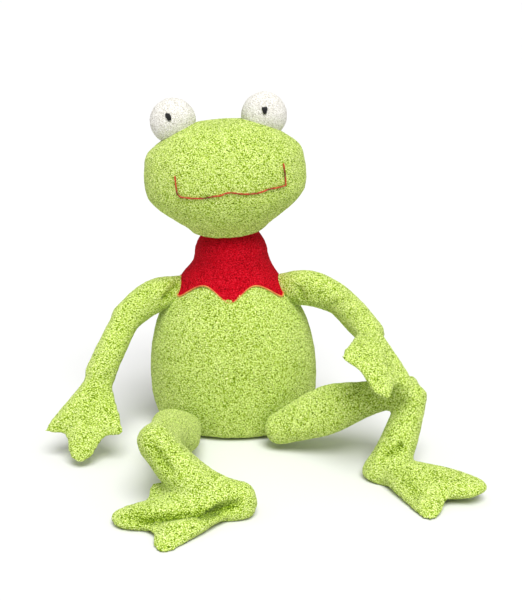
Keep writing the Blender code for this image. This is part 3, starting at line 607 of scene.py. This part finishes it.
# headings: (turn to its own side, upward tilt) in degrees of each link and the hand or foot. over: the way its back
# faces. cuts and bends: where the pieces meet, in links from the root, and half of each bend's length. bows: how far
# the links arch. folds: degrees by which the sides of the hand or foot fold. tips and fans: each toe's reach and each
# side's spread. knee: the leg's scale there. bendDome: how full the knee or elbow is. creases are as for the torso.
limbs = {
    "arm_right": {
        "cuts": (0.55, 1.5), "bends": (0.009, 0.009, 0.009),
        "side": -1, "headings": ((58.5, -16.6), (30.9, -45.8), (19.0, -52.0)), "bows": (0.12, 0.02),
        "over": (0.0, -0.75, 0.76), "folds": (5.0, -8.0), "droop": (0.0, 0.0, 0.0),
        "tips": (0.79, 1.11, 0.90), "fans": (1.0, 1.0), "bendDome": 1.0,
        "creases": (
            (((-44.7, -11.1, 128.5), (-49.3, -19.0, 124.8), (-54.0, -23.3, 119.3),
              (-58.2, -24.5, 112.8)), 2.5, 3.0),
            (((-108.0, -71.3, 59.5), (-111.6, -77.7, 49.2), (-114.4, -85.3, 36.8),
              (-115.6, -90.4, 28.7)), 1.1, 3.6),
            (((-103.2, -72.1, 57.2), (-98.2, -77.6, 47.4), (-93.8, -84.0, 38.0)), 0.5, 3.6),
        ),
    },
    "arm_left": {
        "cuts": (0.55, 1.5), "bends": (0.009, 0.009, 0.009),
        "side": 1, "headings": ((62.0, -0.4), (25.7, -14.7), (3.4, -12.1)), "bows": (0.11, 0.02),
        "over": (0.42, 0.01, 0.91), "folds": (2.0, -5.0), "droop": (0.0, 0.0, -0.17),
        "tips": (0.76, 1.08, 0.87), "fans": (1.0, 1.0), "bendDome": 0.4,
        "creases": (
            (((53.3, -21.9, 127.4), (56.6, -23.8, 122.0), (59.1, -22.7, 115.7)), 2.0, 3.0),
            (((66.3, -27.9, 118.1), (72.6, -31.4, 124.3), (79.8, -32.6, 126.3)), 1.3, 2.0),
            (((76.9, -29.3, 110.0), (82.7, -41.7, 118.9), (90.3, -48.5, 122.7)), 1.3, 2.0),
            (((90.6, -60.4, 113.9), (96.5, -66.0, 116.5)), 1.0, 2.0),
            (((103.4, -107.2, 99.9), (99.7, -117.5, 95.4)), 1.2, 3.5),
            (((117.7, -101.0, 97.7), (118.3, -114.4, 91.1), (119.0, -126.0, 84.0)), 1.0, 3.5),
        ),
    },
    "leg_right": {
        "cuts": (0.5, 1.45), "bends": (0.011, 0.008, 0.006),
        "side": -1, "headings": ((6.6, 15.8), (-76.2, -34.6), (82.2, -4.0)), "bows": (0.02, -0.14),
        "over": (0.0, 0.0, 1.0), "folds": (-5.0, 22.0), "droop": (0.0, 0.0, 0.0),
        "tips": (0.84, 1.05, 0.72), "fans": (1.15, 0.58), "knee": 1.07, "bendDome": 1.0,
        "creases": (
            (((-57.1, -182.2, 61.0), (-54.0, -187.1, 55.3), (-49.8, -187.7, 47.8), (-44.1, -188.7, 40.5),
              (-38.3, -191.1, 32.9)), 2.2, 3.4),
            (((-78.5, -200.7, 7.8), (-67.1, -207.2, 8.2), (-56.2, -210.2, 8.5), (-38.3, -210.9, 10.1),
              (-20.4, -210.2, 12.8), (-2.8, -202.0, 13.6), (13.6, -192.7, 15.5)), 7.4, 4.2),
        ),
    },
    "leg_left": {
        "cuts": (0.5, 1.45), "bends": (0.011, 0.008, 0.006),
        "side": 1, "headings": ((75.3, 21.8), (-37.4, -51.6), (61.3, 3.3)), "bows": (0.04, -0.12),
        "over": (0.0, 0.0, 1.0), "folds": (-9.4, -9.3), "droop": (0.0, 0.0, 0.0),
        "tips": (0.52, 0.99, 0.85), "fans": (0.45, 1.12), "knee": 0.78, "bendDome": 0.3,
        "creases": (
            (((133.4, -118.8, 30.4), (128.6, -122.0, 25.9), (122.4, -123.8, 22.5),
              (116.3, -122.7, 20.4)), 3.5, 3.0),
            (((126.4, -132.2, 16.2), (131.2, -146.6, 13.5), (137.9, -162.6, 10.2),
              (142.9, -178.3, 7.1)), 2.5, 4.5),
            (((147.0, -146.1, 15.8), (155.9, -153.6, 15.1), (165.7, -159.8, 14.6),
              (177.3, -162.1, 14.9)), 2.2, 3.5),
        ),
    },
}


def limbForm(limb):
    # A tapering tube on a bowed line, with a dome at each end. Its wide side turns from one hinge's axis to the
    # next's.
    start, along, length = limb["start"], limb["along"], limb["length"]
    rows, domeRows, inset = tubeSize["rows"], tubeSize["domeRows"], tubeSize["inset"]
    dome = np.radians(np.linspace(tubeSize["domeFrom"], tubeSize["domeTo"], domeRows))
    share = np.concatenate([np.zeros(domeRows), np.linspace(0, 1, rows), np.ones(domeRows)])
    low, high = limb["domes"]
    beyond = np.concatenate([-low * np.sin(dome), np.zeros(rows), high * np.sin(dome[::-1])])
    shrink = np.concatenate([np.cos(dome), np.ones(rows), np.cos(dome[::-1])])
    wide, thick = smoothTable(limb["table"], share)
    wide, thick = limb["width"] / 2 * wide - inset, limb["thickness"] / 2 * thick - inset
    mix = limb["across"][None] * (1 - share[:, None]) + limb["acrossEnd"][None] * share[:, None]
    across = squareTo(mix, along)
    over = np.cross(across, along)
    centre = start + along * (length * share + thick * beyond)[:, None]
    centre = centre + up * (limb["bow"] * 4 * share * (1 - share) * length)[:, None]
    turn = around(tubeSize["columns"])
    rings = centre[:, None] + across[:, None] * (wide * shrink)[:, None, None] * np.cos(turn)[None, :, None]
    rings = rings + over[:, None] * (thick * shrink)[:, None, None] * np.sin(turn)[None, :, None]
    rings[..., 2] = np.maximum(rings[..., 2], inset)
    return closedForm(rings)


def webForm(web):
    # A flat bag that fans out to three webbed toes, each a bell in the outline. Each side of it may fold about its
    # middle line.
    along = web["along"]
    over = squareTo(web["over"], along)
    across = np.cross(along, over)
    columns = toeSize["columns"]
    # From edge to edge over the back, and back along the underside. The columns lie closer towards the edges.
    places = np.sin(np.linspace(-np.pi / 2, np.pi / 2, columns))
    places = places * 0.5 + np.linspace(-1, 1, columns) * 0.5
    place = np.concatenate([places, places[-2:0:-1]])[None]
    side = np.concatenate([np.ones(columns), -np.ones(columns - 2)])[None]
    share = np.sin(np.linspace(0, np.pi / 2, toeSize["rows"]))[:, None]
    reach = web["web"] + 0 * place
    for toe, tip in zip(toeSize["places"], web["tips"]):
        reach = reach + (tip - web["web"]) * np.exp(-np.abs((place - toe) / toeSize["narrow"]) ** 3)
    edge = np.maximum(np.abs(place) - toeSize["corner"], 0.0) / toeSize["cornerWidth"]
    whole = web["length"] * reach * (1 - (1 - toeSize["edge"]) * edge**2)
    distance = whole * share
    swell = (web["swell"] * (1 - share) ** 2 + 1) * np.sqrt(1 - share**4)
    fan = np.radians(web["fan"] * np.where(place < 0, web["fans"][0], web["fans"][1])) * place
    lateral = web["root"] / 2 * place + distance * np.sin(fan)
    fold = np.radians(np.where(place < 0, web["folds"][0], -web["folds"][1]))
    fold = fold * np.minimum(np.abs(lateral) / (web["length"] * toeSize["fold"]), 1.0)
    valley = np.exp(-(((np.abs(place) - toeSize["valleyPlace"]) / toeSize["valleyWidth"]) ** 2))
    valley = valley * smoothStep(toeSize["valleyFrom"], toeSize["valleyTo"], share)
    thick = web["thickness"] / 2 * swell * np.sqrt(1 - place**2) * (1 - toeSize["valley"] * valley)
    spread = across * np.cos(fold)[..., None] - over * np.sin(fold)[..., None]
    lift = over * np.cos(fold)[..., None] + across * np.sin(fold)[..., None]
    points = web["start"] + spread * lateral[..., None] + along * (distance * np.cos(fan))[..., None]
    points = points + lift * (side * thick)[..., None]
    points = points + web["droop"] * (distance**2 / web["length"])[..., None]
    points[..., 2] = np.maximum(points[..., 2], toeSize["lowest"])
    return closedForm(points)


def torsoNormal(angle, share):
    # Square to the torso's skin, from its points a small step to each side, above and below.
    step = 0.01
    angle, share = np.array(angle), np.array(share)
    sideways = torsoPoint(angle + step, share) - torsoPoint(angle - step, share)
    upward = torsoPoint(angle, share + step) - torsoPoint(angle, share - step)
    return unit(np.cross(sideways, upward))


def alike(axis, other):
    # The axis or its reverse, whichever runs more with the other.
    return axis if axis @ other > 0 else -axis


def kneeScaled(table, share, knee):
    # A leg's table with its rows near the knee scaled: in full at the knee, by half at the next row.
    order = sorted(table, key=lambda row: abs(row[0] - knee))
    scales = {order[0][0]: share, order[1][0]: (1 + share) / 2}
    return [(at, *(value * scales.get(at, 1.0) for value in values)) for at, *values in table]


def jointNames(kind):
    # From the root to the end of an arm or a leg.
    return {"arm": ("shoulder", "elbow", "wrist"), "leg": ("hip", "knee", "ankle")}[kind]


def limbForms(name):
    # A tube for each link and a web at the end, from joint to joint. Each joint's axis is square to both its links.
    pose = limbs[name]
    kind, sideName = name.split("_")
    side = pose["side"]
    first, second, third = (heading(side * yaw, pitch) for yaw, pitch in pose["headings"])
    axisOne = unit(np.cross(first, second))
    over = np.array([side * pose["over"][0], *pose["over"][1:]]) if kind == "arm" else np.array(pose["over"])
    over = squareTo(over, third)
    root, middle, end = (joints[f"{part}_{sideName}"] for part in jointNames(kind))
    if kind == "arm":
        size = armSize
        normal = torsoNormal(side * np.pi / 2, size["shoulder"] / torsoSize["height"])
        start = root - normal * size["inset"]
        axisTwo = alike(squareTo(np.cross(third, over), second), axisOne)
        thicknesses = (size["thickness"], size["thickness"])
        tables, tips = (size["upper"], size["fore"]), pose["tips"][::-side]
        web = size["hand"]
    else:
        size = legSize
        start = root
        axisTwo = alike(unit(np.cross(second, third)), axisOne)
        thicknesses = (size["thickness"], size["shankThickness"])
        tables = kneeScaled(size["thigh"], pose["knee"], 1.0), kneeScaled(size["shank"], pose["knee"], 0.0)
        tips = pose["tips"]
        web = size["foot"]
    corners, axes, domes = (start, middle, end), (axisOne, axisOne, axisTwo), (1.0, pose["bendDome"], 1.0)
    forms = [limbForm({
        "start": corners[k], "along": along, "length": np.linalg.norm(corners[k + 1] - corners[k]),
        "width": size["width"], "thickness": thicknesses[k], "table": tables[k], "across": axes[k],
        "acrossEnd": axes[k + 1], "bow": pose["bows"][k], "domes": domes[k:k + 2],
    }) for k, along in enumerate((first, second))]
    forms.append(webForm({
        **web, "tips": tips, "start": end, "along": third, "over": over, "folds": pose["folds"],
        "fans": pose["fans"], "droop": np.array(pose["droop"]),
    }))
    return forms


def skeleton(name):
    # The limb's joints, the far end of its hand or foot, and the reach of its flesh round each link.
    pose = limbs[name]
    kind, sideName = name.split("_")
    size = armSize if kind == "arm" else legSize
    web = size["hand"] if kind == "arm" else size["foot"]
    corners = [joints[f"{part}_{sideName}"] for part in jointNames(kind)]
    yaw, pitch = pose["headings"][2]
    corners.append(corners[2] + heading(pose["side"] * yaw, pitch) * web["length"])
    webReach = web["thickness"] * skinSize["webReach"]
    reach = (size["thickness"], size.get("shankThickness", size["thickness"]), webReach)
    return np.array(corners), np.array(reach) / 2


def pieceOfLimb(name, points):
    # 0, 1 or 2 for each point: up to the middle of the first link, up to the cut on the second, and the rest.
    corners, reach = skeleton(name)
    ways, shares = [], []
    for low, high, radius in zip(corners, corners[1:], reach):
        link = high - low
        share = np.clip((points - low) @ link / (link @ link), 0.0, 1.0)
        ways.append(np.linalg.norm(points - low - share[:, None] * link, axis=1) / radius)
        shares.append(share)
    nearest = np.argmin(ways, axis=0)
    along = nearest + np.take_along_axis(np.array(shares), nearest[None], axis=0)[0]
    return np.digitize(along, limbs[name]["cuts"])


def splitLimb(made, name):
    # Three closed pieces that meet point for point on their cuts, each with the whole limb's normals.
    points, normals = readSkin(made)
    heights = readValues(made, "pile")
    quads = np.empty(len(made.data.polygons) * 4, np.int32)
    made.data.polygons.foreach_get("vertices", quads)
    quads = quads.reshape(-1, 4)
    label = pieceOfLimb(name, points[quads].mean(axis=1))
    # Each edge of each quad, with the quad's label; an edge that two labels share is on a cut.
    ends = np.stack([quads, np.roll(quads, -1, axis=1)], axis=-1).reshape(-1, 2)
    owner = np.repeat(label, 4)
    low, high = np.sort(ends, axis=1).T
    order = np.lexsort((high, low))
    first, second = order[0::2], order[1::2]
    pieces = []
    for piece in range(3):
        kept = quads[label == piece]
        # A fan of triangles closes each cut.
        triangles, centres = [], []
        for neighbour in range(3):
            cuts = [one[(owner[one] == piece) & (owner[other] == neighbour) & (neighbour != piece)]
                    for one, other in ((first, second), (second, first))]
            edges = ends[np.concatenate(cuts)]
            if len(edges):
                centre = len(points) + len(centres)
                centres.append(points[edges[:, 0]].mean(axis=0))
                triangles.append(np.stack([edges[:, 1], edges[:, 0], np.full(len(edges), centre)], axis=1))
        allPoints = np.concatenate([points, np.array(centres).reshape(-1, 3)])
        triangles = np.concatenate(triangles)
        used, index = np.unique(np.concatenate([kept.ravel(), triangles.ravel()]), return_inverse=True)
        form = (allPoints[used], index[:kept.size].reshape(-1, 4), index[kept.size:].reshape(-1, 3))
        part = makeMesh(f"{name}_{piece + 1}", [form], turn=False)
        allHeights = np.concatenate([heights, np.full(len(centres), 0.5)])
        writeValues(part, "pile", allHeights[used])
        # The quads keep the whole limb's normals, and the fans are flat.
        allNormals = np.concatenate([normals, np.tile(up, (len(centres), 1))])[used]
        part.data.shade_smooth()
        one, two, three = (form[0][form[2][:, k]] for k in range(3))
        flat = unit(np.cross(two - one, three - one))
        corner = np.concatenate([allNormals[form[1].ravel()], np.repeat(flat, 3, axis=0)])
        part.data.normals_split_custom_set(corner)
        pieces.append(part)
    bpy.data.objects.remove(made)
    return pieces


def nearCrease(points, line, width):
    # 1 on a line on the skin, falling off as a bell across it and towards its ends.
    line = np.array(line, float) * mm
    nearest, share = np.full(len(points), np.inf), np.zeros(len(points))
    lengths = np.concatenate([[0], np.cumsum(np.linalg.norm(np.diff(line, axis=0), axis=1))])
    for low, high, before, after in zip(line, line[1:], lengths, lengths[1:]):
        way = high - low
        t = np.clip((points - low) @ way / (way @ way), 0.0, 1.0)
        distance = np.linalg.norm(points - low - t[:, None] * way, axis=1)
        share = np.where(distance < nearest, (before + t * (after - before)) / lengths[-1], share)
        nearest = np.minimum(distance, nearest)
    begin, end = skinSize["creaseEnds"]
    fade = smoothStep(0.0, begin, share) * smoothStep(1.0, end, share)
    return np.exp(-((nearest / (width * mm)) ** 2)) * fade


def addCreases(made, creases):
    # Draws the skin in along each line, and marks how deep each place lies in a fold, up to 1 at foldDepth. The
    # mark is painted shade: addPile darkens the loops' colour by it.
    points, normals = readSkin(made)
    depths = np.zeros(len(points))
    for line, depth, width in creases:
        depths = np.maximum(depths, depth * nearCrease(points, line, width))
    writePoints(made, points - normals * (depths * mm)[:, None])
    writeValues(made, "fold", np.minimum(depths / skinSize["foldDepth"], 1.0))


def makeLimb(name):
    size = skinSize
    made = makeMesh(name, limbForms(name))
    bake(made, [("REMESH", {"mode": "VOXEL", "voxel_size": size["voxel"]}),
                ("SMOOTH", {"factor": 0.5, "iterations": size["smoothing"]})])
    inflate(made, size["swell"])
    subdivide(made, 1)
    addCreases(made, limbs[name]["creases"])
    subdivide(made, 1)
    keepAbove(made, size["lowest"])
    addPile(made, {**pile, "seed": size["seed"] + sorted(limbs).index(name)})
    return splitLimb(made, name)


# Materials


def linear(code):
    # sRGB hex to linear colour.
    values = [int(code[k:k + 2], 16) / 255 for k in (1, 3, 5)]
    return (*[v / 12.92 if v <= 0.04045 else ((v + 0.055) / 1.055) ** 2.4 for v in values], 1.0)


def feed(tree, node, inputs):
    # Links or sets each of the node's inputs.
    for socket, value in inputs.items():
        if isinstance(value, bpy.types.NodeSocket):
            tree.links.new(value, node.inputs[socket])
        else:
            node.inputs[socket].default_value = value
    return node


def addNode(tree, kind, inputs=(), **settings):
    node = tree.nodes.new(kind)
    for name, value in settings.items():
        setattr(node, name, value)
    return feed(tree, node, dict(inputs))


def ramp(tree, factor, stops):
    node = addNode(tree, "ShaderNodeValToRGB", {"Fac": factor})
    elements = node.color_ramp.elements
    while len(elements) < len(stops):
        elements.new(0.5)
    for element, (at, code) in zip(elements, stops):
        element.position = at
        element.color = linear(code)
    return node.outputs["Color"]


# Cotton terry cloth, woven with its loops left uncut: matt, with a painted highlight on the backs of the loops and
# painted shade down between them, and a soft rim of stray fibres. Sizes in metres. Its loops stand 1.05 mm apart and
# are a third wider than high. Tufts 2 mm wide lean over by up to 2.5 mm, and the cloth's tone drifts over 18 mm. A
# cotton fibre is 0.02 mm thick, too fine to show, so the fibres are drawn 0.7 mm wide.
terrySize = {
    "loop": 0.00105, "tuft": 0.0020, "lean": 0.0025, "stretch": 1.35, "fibre": 0.0007, "drift": 0.018, "bump": 0.0008,
    "base": 0.61, "nubShare": 0.05, "ownShare": 0.10, "fallShare": -0.95, "fibreShare": 0.30,
    # body: the height at which the loops show their own colour; the painted shade stops lie below it and the painted
    # highlight stop above it.
    "body": 0.45, "paintedShadeBelow": 0.24, "paintedHighlightAbove": 0.20, "patch": 0.03,
}
# Twisted polyester sewing thread: close and smooth, with a dull shine. Its strands are 0.2 mm thick, too fine to
# show, so their twist is drawn 0.7 mm wide, and its tone changes over about one stitch, 6 mm.
threadSize = {"twist": 0.0007, "stitch": 0.006, "bump": 0.0002, "dark": 0.12, "light": 0.34}


def newMaterial(name):
    made = bpy.data.materials.new(name)
    made.use_nodes = True
    return made, made.node_tree, made.node_tree.nodes["Principled BSDF"]


def noise(tree, place, size, detail):
    # Noise whose lumps are this size in metres.
    return addNode(tree, "ShaderNodeTexNoise", {"Vector": place, "Scale": 1 / size, "Detail": detail})


def terry(name, paintedFoldShade, paintedGapShade, body, tip, sheen, contrast=1.0):
    # Colours in order: painted shade deep in a fold, painted shade between the loops, the loops' own colour, and a
    # painted highlight at their tips that also tints the sheen.
    made, tree, shader = newMaterial(name)
    size = terrySize
    place = addNode(tree, "ShaderNodeTexCoord").outputs["Object"]
    nub = addNode(tree, "ShaderNodeAttribute", attribute_name="pile").outputs["Fac"]
    # The loops lean: their lattice is read at a place that each tuft pushes aside.
    tuft = noise(tree, place, size["tuft"], 1.0)
    push = addNode(tree, "ShaderNodeVectorMath", {0: tuft.outputs["Color"], 1: (size["lean"],) * 3},
                   operation="MULTIPLY")
    stretch = (1.0, 1.0, size["stretch"])
    bent = addNode(tree, "ShaderNodeVectorMath", {0: place, 1: stretch, 2: push.outputs["Vector"]},
                   operation="MULTIPLY_ADD").outputs["Vector"]
    loops = addNode(tree, "ShaderNodeTexVoronoi", {"Vector": bent, "Scale": 1 / size["loop"], "Randomness": 0.85},
                    feature="F1")
    own = addNode(tree, "ShaderNodeSeparateColor", {"Color": loops.outputs["Color"]}).outputs["Red"]
    fibre = noise(tree, bent, size["fibre"], 1.0)
    drift = noise(tree, place, size["drift"], 2.0)
    # Height: the mesh's nubs, less in a fold for its painted shade, with each loop's own share, its fall from its
    # middle and the fibres.
    height = addNode(tree, "ShaderNodeMath", {0: nub, 1: size["nubShare"], 2: size["base"]},
                     operation="MULTIPLY_ADD").outputs[0]
    for value, share in ((own, size["ownShare"]), (loops.outputs["Distance"], size["fallShare"]),
                         (fibre.outputs["Fac"], size["fibreShare"])):
        height = addNode(tree, "ShaderNodeMath", {0: value, 1: share, 2: height}, operation="MULTIPLY_ADD").outputs[0]
    # The colour follows the height: painted shade deep in a fold and in the gaps, then the loops' own colour on their
    # sides, and a painted highlight at their tips.
    colour = ramp(tree, height, ((0.0, paintedFoldShade), (size["body"] - size["paintedShadeBelow"] / contrast, paintedGapShade), (size["body"], body),
                                 (size["body"] + size["paintedHighlightAbove"] / contrast, tip)))
    tone = addNode(tree, "ShaderNodeMapRange", {"Value": drift.outputs["Fac"], "From Min": 0.3, "From Max": 0.7,
                                                "To Min": 1 - size["patch"], "To Max": 1 + size["patch"]})
    shaded = addNode(tree, "ShaderNodeHueSaturation", {"Color": colour, "Value": tone.outputs["Result"]})
    bump = addNode(tree, "ShaderNodeBump", {"Height": height, "Strength": 0.8, "Distance": size["bump"] * contrast})
    feed(tree, shader, {
        "Base Color": shaded.outputs["Color"], "Normal": bump.outputs["Normal"], "Roughness": 0.95,
        "Specular IOR Level": 0.1, "Sheen Weight": sheen, "Sheen Roughness": 0.5, "Sheen Tint": linear(tip),
    })
    return made


def thread(name, dark, light, sheen, roughness=0.55):
    made, tree, shader = newMaterial(name)
    size = threadSize
    place = addNode(tree, "ShaderNodeTexCoord").outputs["Object"]
    twist = noise(tree, place, size["twist"], 3.0)
    slow = noise(tree, place, size["stitch"], 1.0)
    mixed = addNode(tree, "ShaderNodeMath", {0: slow.outputs["Fac"], 1: twist.outputs["Fac"]}, operation="MULTIPLY")
    colour = ramp(tree, mixed.outputs[0], ((size["dark"], dark), (size["light"], light)))
    bump = addNode(tree, "ShaderNodeBump", {"Height": twist.outputs["Fac"], "Strength": 0.5,
                                            "Distance": size["bump"]})
    feed(tree, shader, {"Base Color": colour, "Normal": bump.outputs["Normal"], "Roughness": roughness,
                        "Sheen Weight": sheen})
    return made


# Terry: painted shade deep in a fold and between the loops, the loops' own colour on their sides and a painted
# highlight at their tips. The red and the white are drawn at a contrast of 0.8: less painted shade and highlight and
# a lower bump, so their gaps and loops are closer in tone. The black thread is the dullest, and the hem's is a paler
# one that the pile half covers.
green = terry("terry_green_pile", "#4C6804", "#84A40A", "#DAF274", "#F8FFC0", 0.3)
red = terry("terry_red_pile", "#6E0008", "#A40010", "#D4031D", "#E62A40", 0.0, 0.8)
white = terry("terry_white_pile", "#B5B1A6", "#CDC9BE", "#F3F0E8", "#FDFCFA", 0.1, 0.8)
orange = thread("stitch_orange", "#4E1405", "#D2441A", 0.0)
edge = thread("stitch_edge", "#C8501E", "#E2A04A", 0.2)
black = thread("stitch_black", "#020203", "#0B0B0C", 0.0, 0.65)


def finish(made, material, body=None, nodes=()):
    # Gives a piece its material, the body that it rides and the nodes that it stands for.
    made.data.materials.clear()
    made.data.materials.append(material)
    if not made.data.has_custom_normals:
        made.data.shade_smooth()
    if body:
        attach(made, body)
    if nodes:
        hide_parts(*nodes)


def nodesOf(*parts):
    return [node for node in frame["nodes"] if any(node.startswith(part) for part in parts)]


finish(makeTorso(), green, "torso", nodesOf("torso_", "seat_panel"))
finish(makeCollar(), red, "torso", ["neck_collar"])
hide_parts("neck_stuffing")
finish(makeEdging(), edge, "torso")
print("torso and collar done")
finish(makeHead(), green, "head", nodesOf("head_"))
for side, name in ((1, "left"), (-1, "right")):
    finish(makeEye(side, name), white, "head", ["eye_" + name])
    finish(makePupil(side, name), black, "head", ["pupil_" + name])
finish(makeMouth(), orange, "head", ["mouth_stitching"])
print("head and face done")
for name in limbs:
    kind, sideName = name.split("_")
    stems = {"arm": ("upper_arm", "forearm", "hand"), "leg": ("thigh", "shank", "foot")}[kind]
    for k, piece in enumerate(makeLimb(name)):
        nodes = [f"{stems[k]}_{sideName}", f"{stems[k]}_stuffing_{sideName}"]
        finish(piece, green, None, nodes)
        # Each piece's place is baked into its points.
        half = limbs[name]["bends"][k]
        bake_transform(piece)
print("limbs done")

# Floor, light and camera: a white matt paper whose grain is too fine to show, so it is drawn 25 mm wide and faint, a
# room that is bright overhead and dim low down, one broad lamp, and a camera in front that looks down a little.
floorSize = {"half": 9, "grain": 0.025, "dark": "#E4E4E4", "light": "#E6E6E6", "roughness": 0.9}
roomSize = {"below": 0.15, "above": 0.71}
lampSize = {"power": 3.05, "spread": 35, "direction": (-0.12, 0.62, -1.0)}
cameraSize = {"target": (0.023, -0.050, 0.124), "distance": 1.10, "down": 17.0, "lens": 82.5, "sensor": 36.0}

floor = addObject("floor", bpy.data.meshes.new("floor"))
half = floorSize["half"]
floor.data.from_pydata([(-half, -half, 0), (half, -half, 0), (half, half, 0), (-half, half, 0)], [], [(0, 1, 2, 3)])
paper, paperTree, paperShader = newMaterial("paper")
paperGrain = addNode(paperTree, "ShaderNodeTexNoise", {"Scale": 1 / floorSize["grain"], "Detail": 2.0})
paperColour = ramp(paperTree, paperGrain.outputs["Fac"], ((0.3, floorSize["dark"]), (0.7, floorSize["light"])))
feed(paperTree, paperShader, {"Base Color": paperColour, "Roughness": floorSize["roughness"]})
floor.data.materials.append(paper)

world = bpy.data.worlds.new("studio")
world.use_nodes = True
sky = world.node_tree
skyHeight = addNode(sky, "ShaderNodeSeparateXYZ", {"Vector": addNode(sky, "ShaderNodeTexCoord").outputs["Generated"]})
glow = addNode(sky, "ShaderNodeMapRange", {"Value": skyHeight.outputs["Z"], "To Min": roomSize["below"],
                                           "To Max": roomSize["above"]})
feed(sky, sky.nodes["Background"], {"Color": (1.0, 1.0, 1.0, 1.0), "Strength": glow.outputs["Result"]})
bpy.context.scene.world = world

lamp = addObject("key", bpy.data.lights.new("key", "SUN"))
lamp.data.energy = lampSize["power"]
lamp.data.angle = math.radians(lampSize["spread"])
lamp.rotation_euler = Vector(lampSize["direction"]).to_track_quat("-Z", "Y").to_euler()

camera = addObject("camera", bpy.data.cameras.new("camera"))
down = math.radians(cameraSize["down"])
forward = Vector((0, math.cos(down), -math.sin(down)))
camera.location = Vector(cameraSize["target"]) - forward * cameraSize["distance"]
camera.rotation_euler = forward.to_track_quat("-Z", "Y").to_euler()
camera.data.lens = cameraSize["lens"]
camera.data.sensor_width = cameraSize["sensor"]
bpy.context.scene.camera = camera
bpy.context.scene.view_settings.view_transform = "Standard"
print("floor, light and camera done")
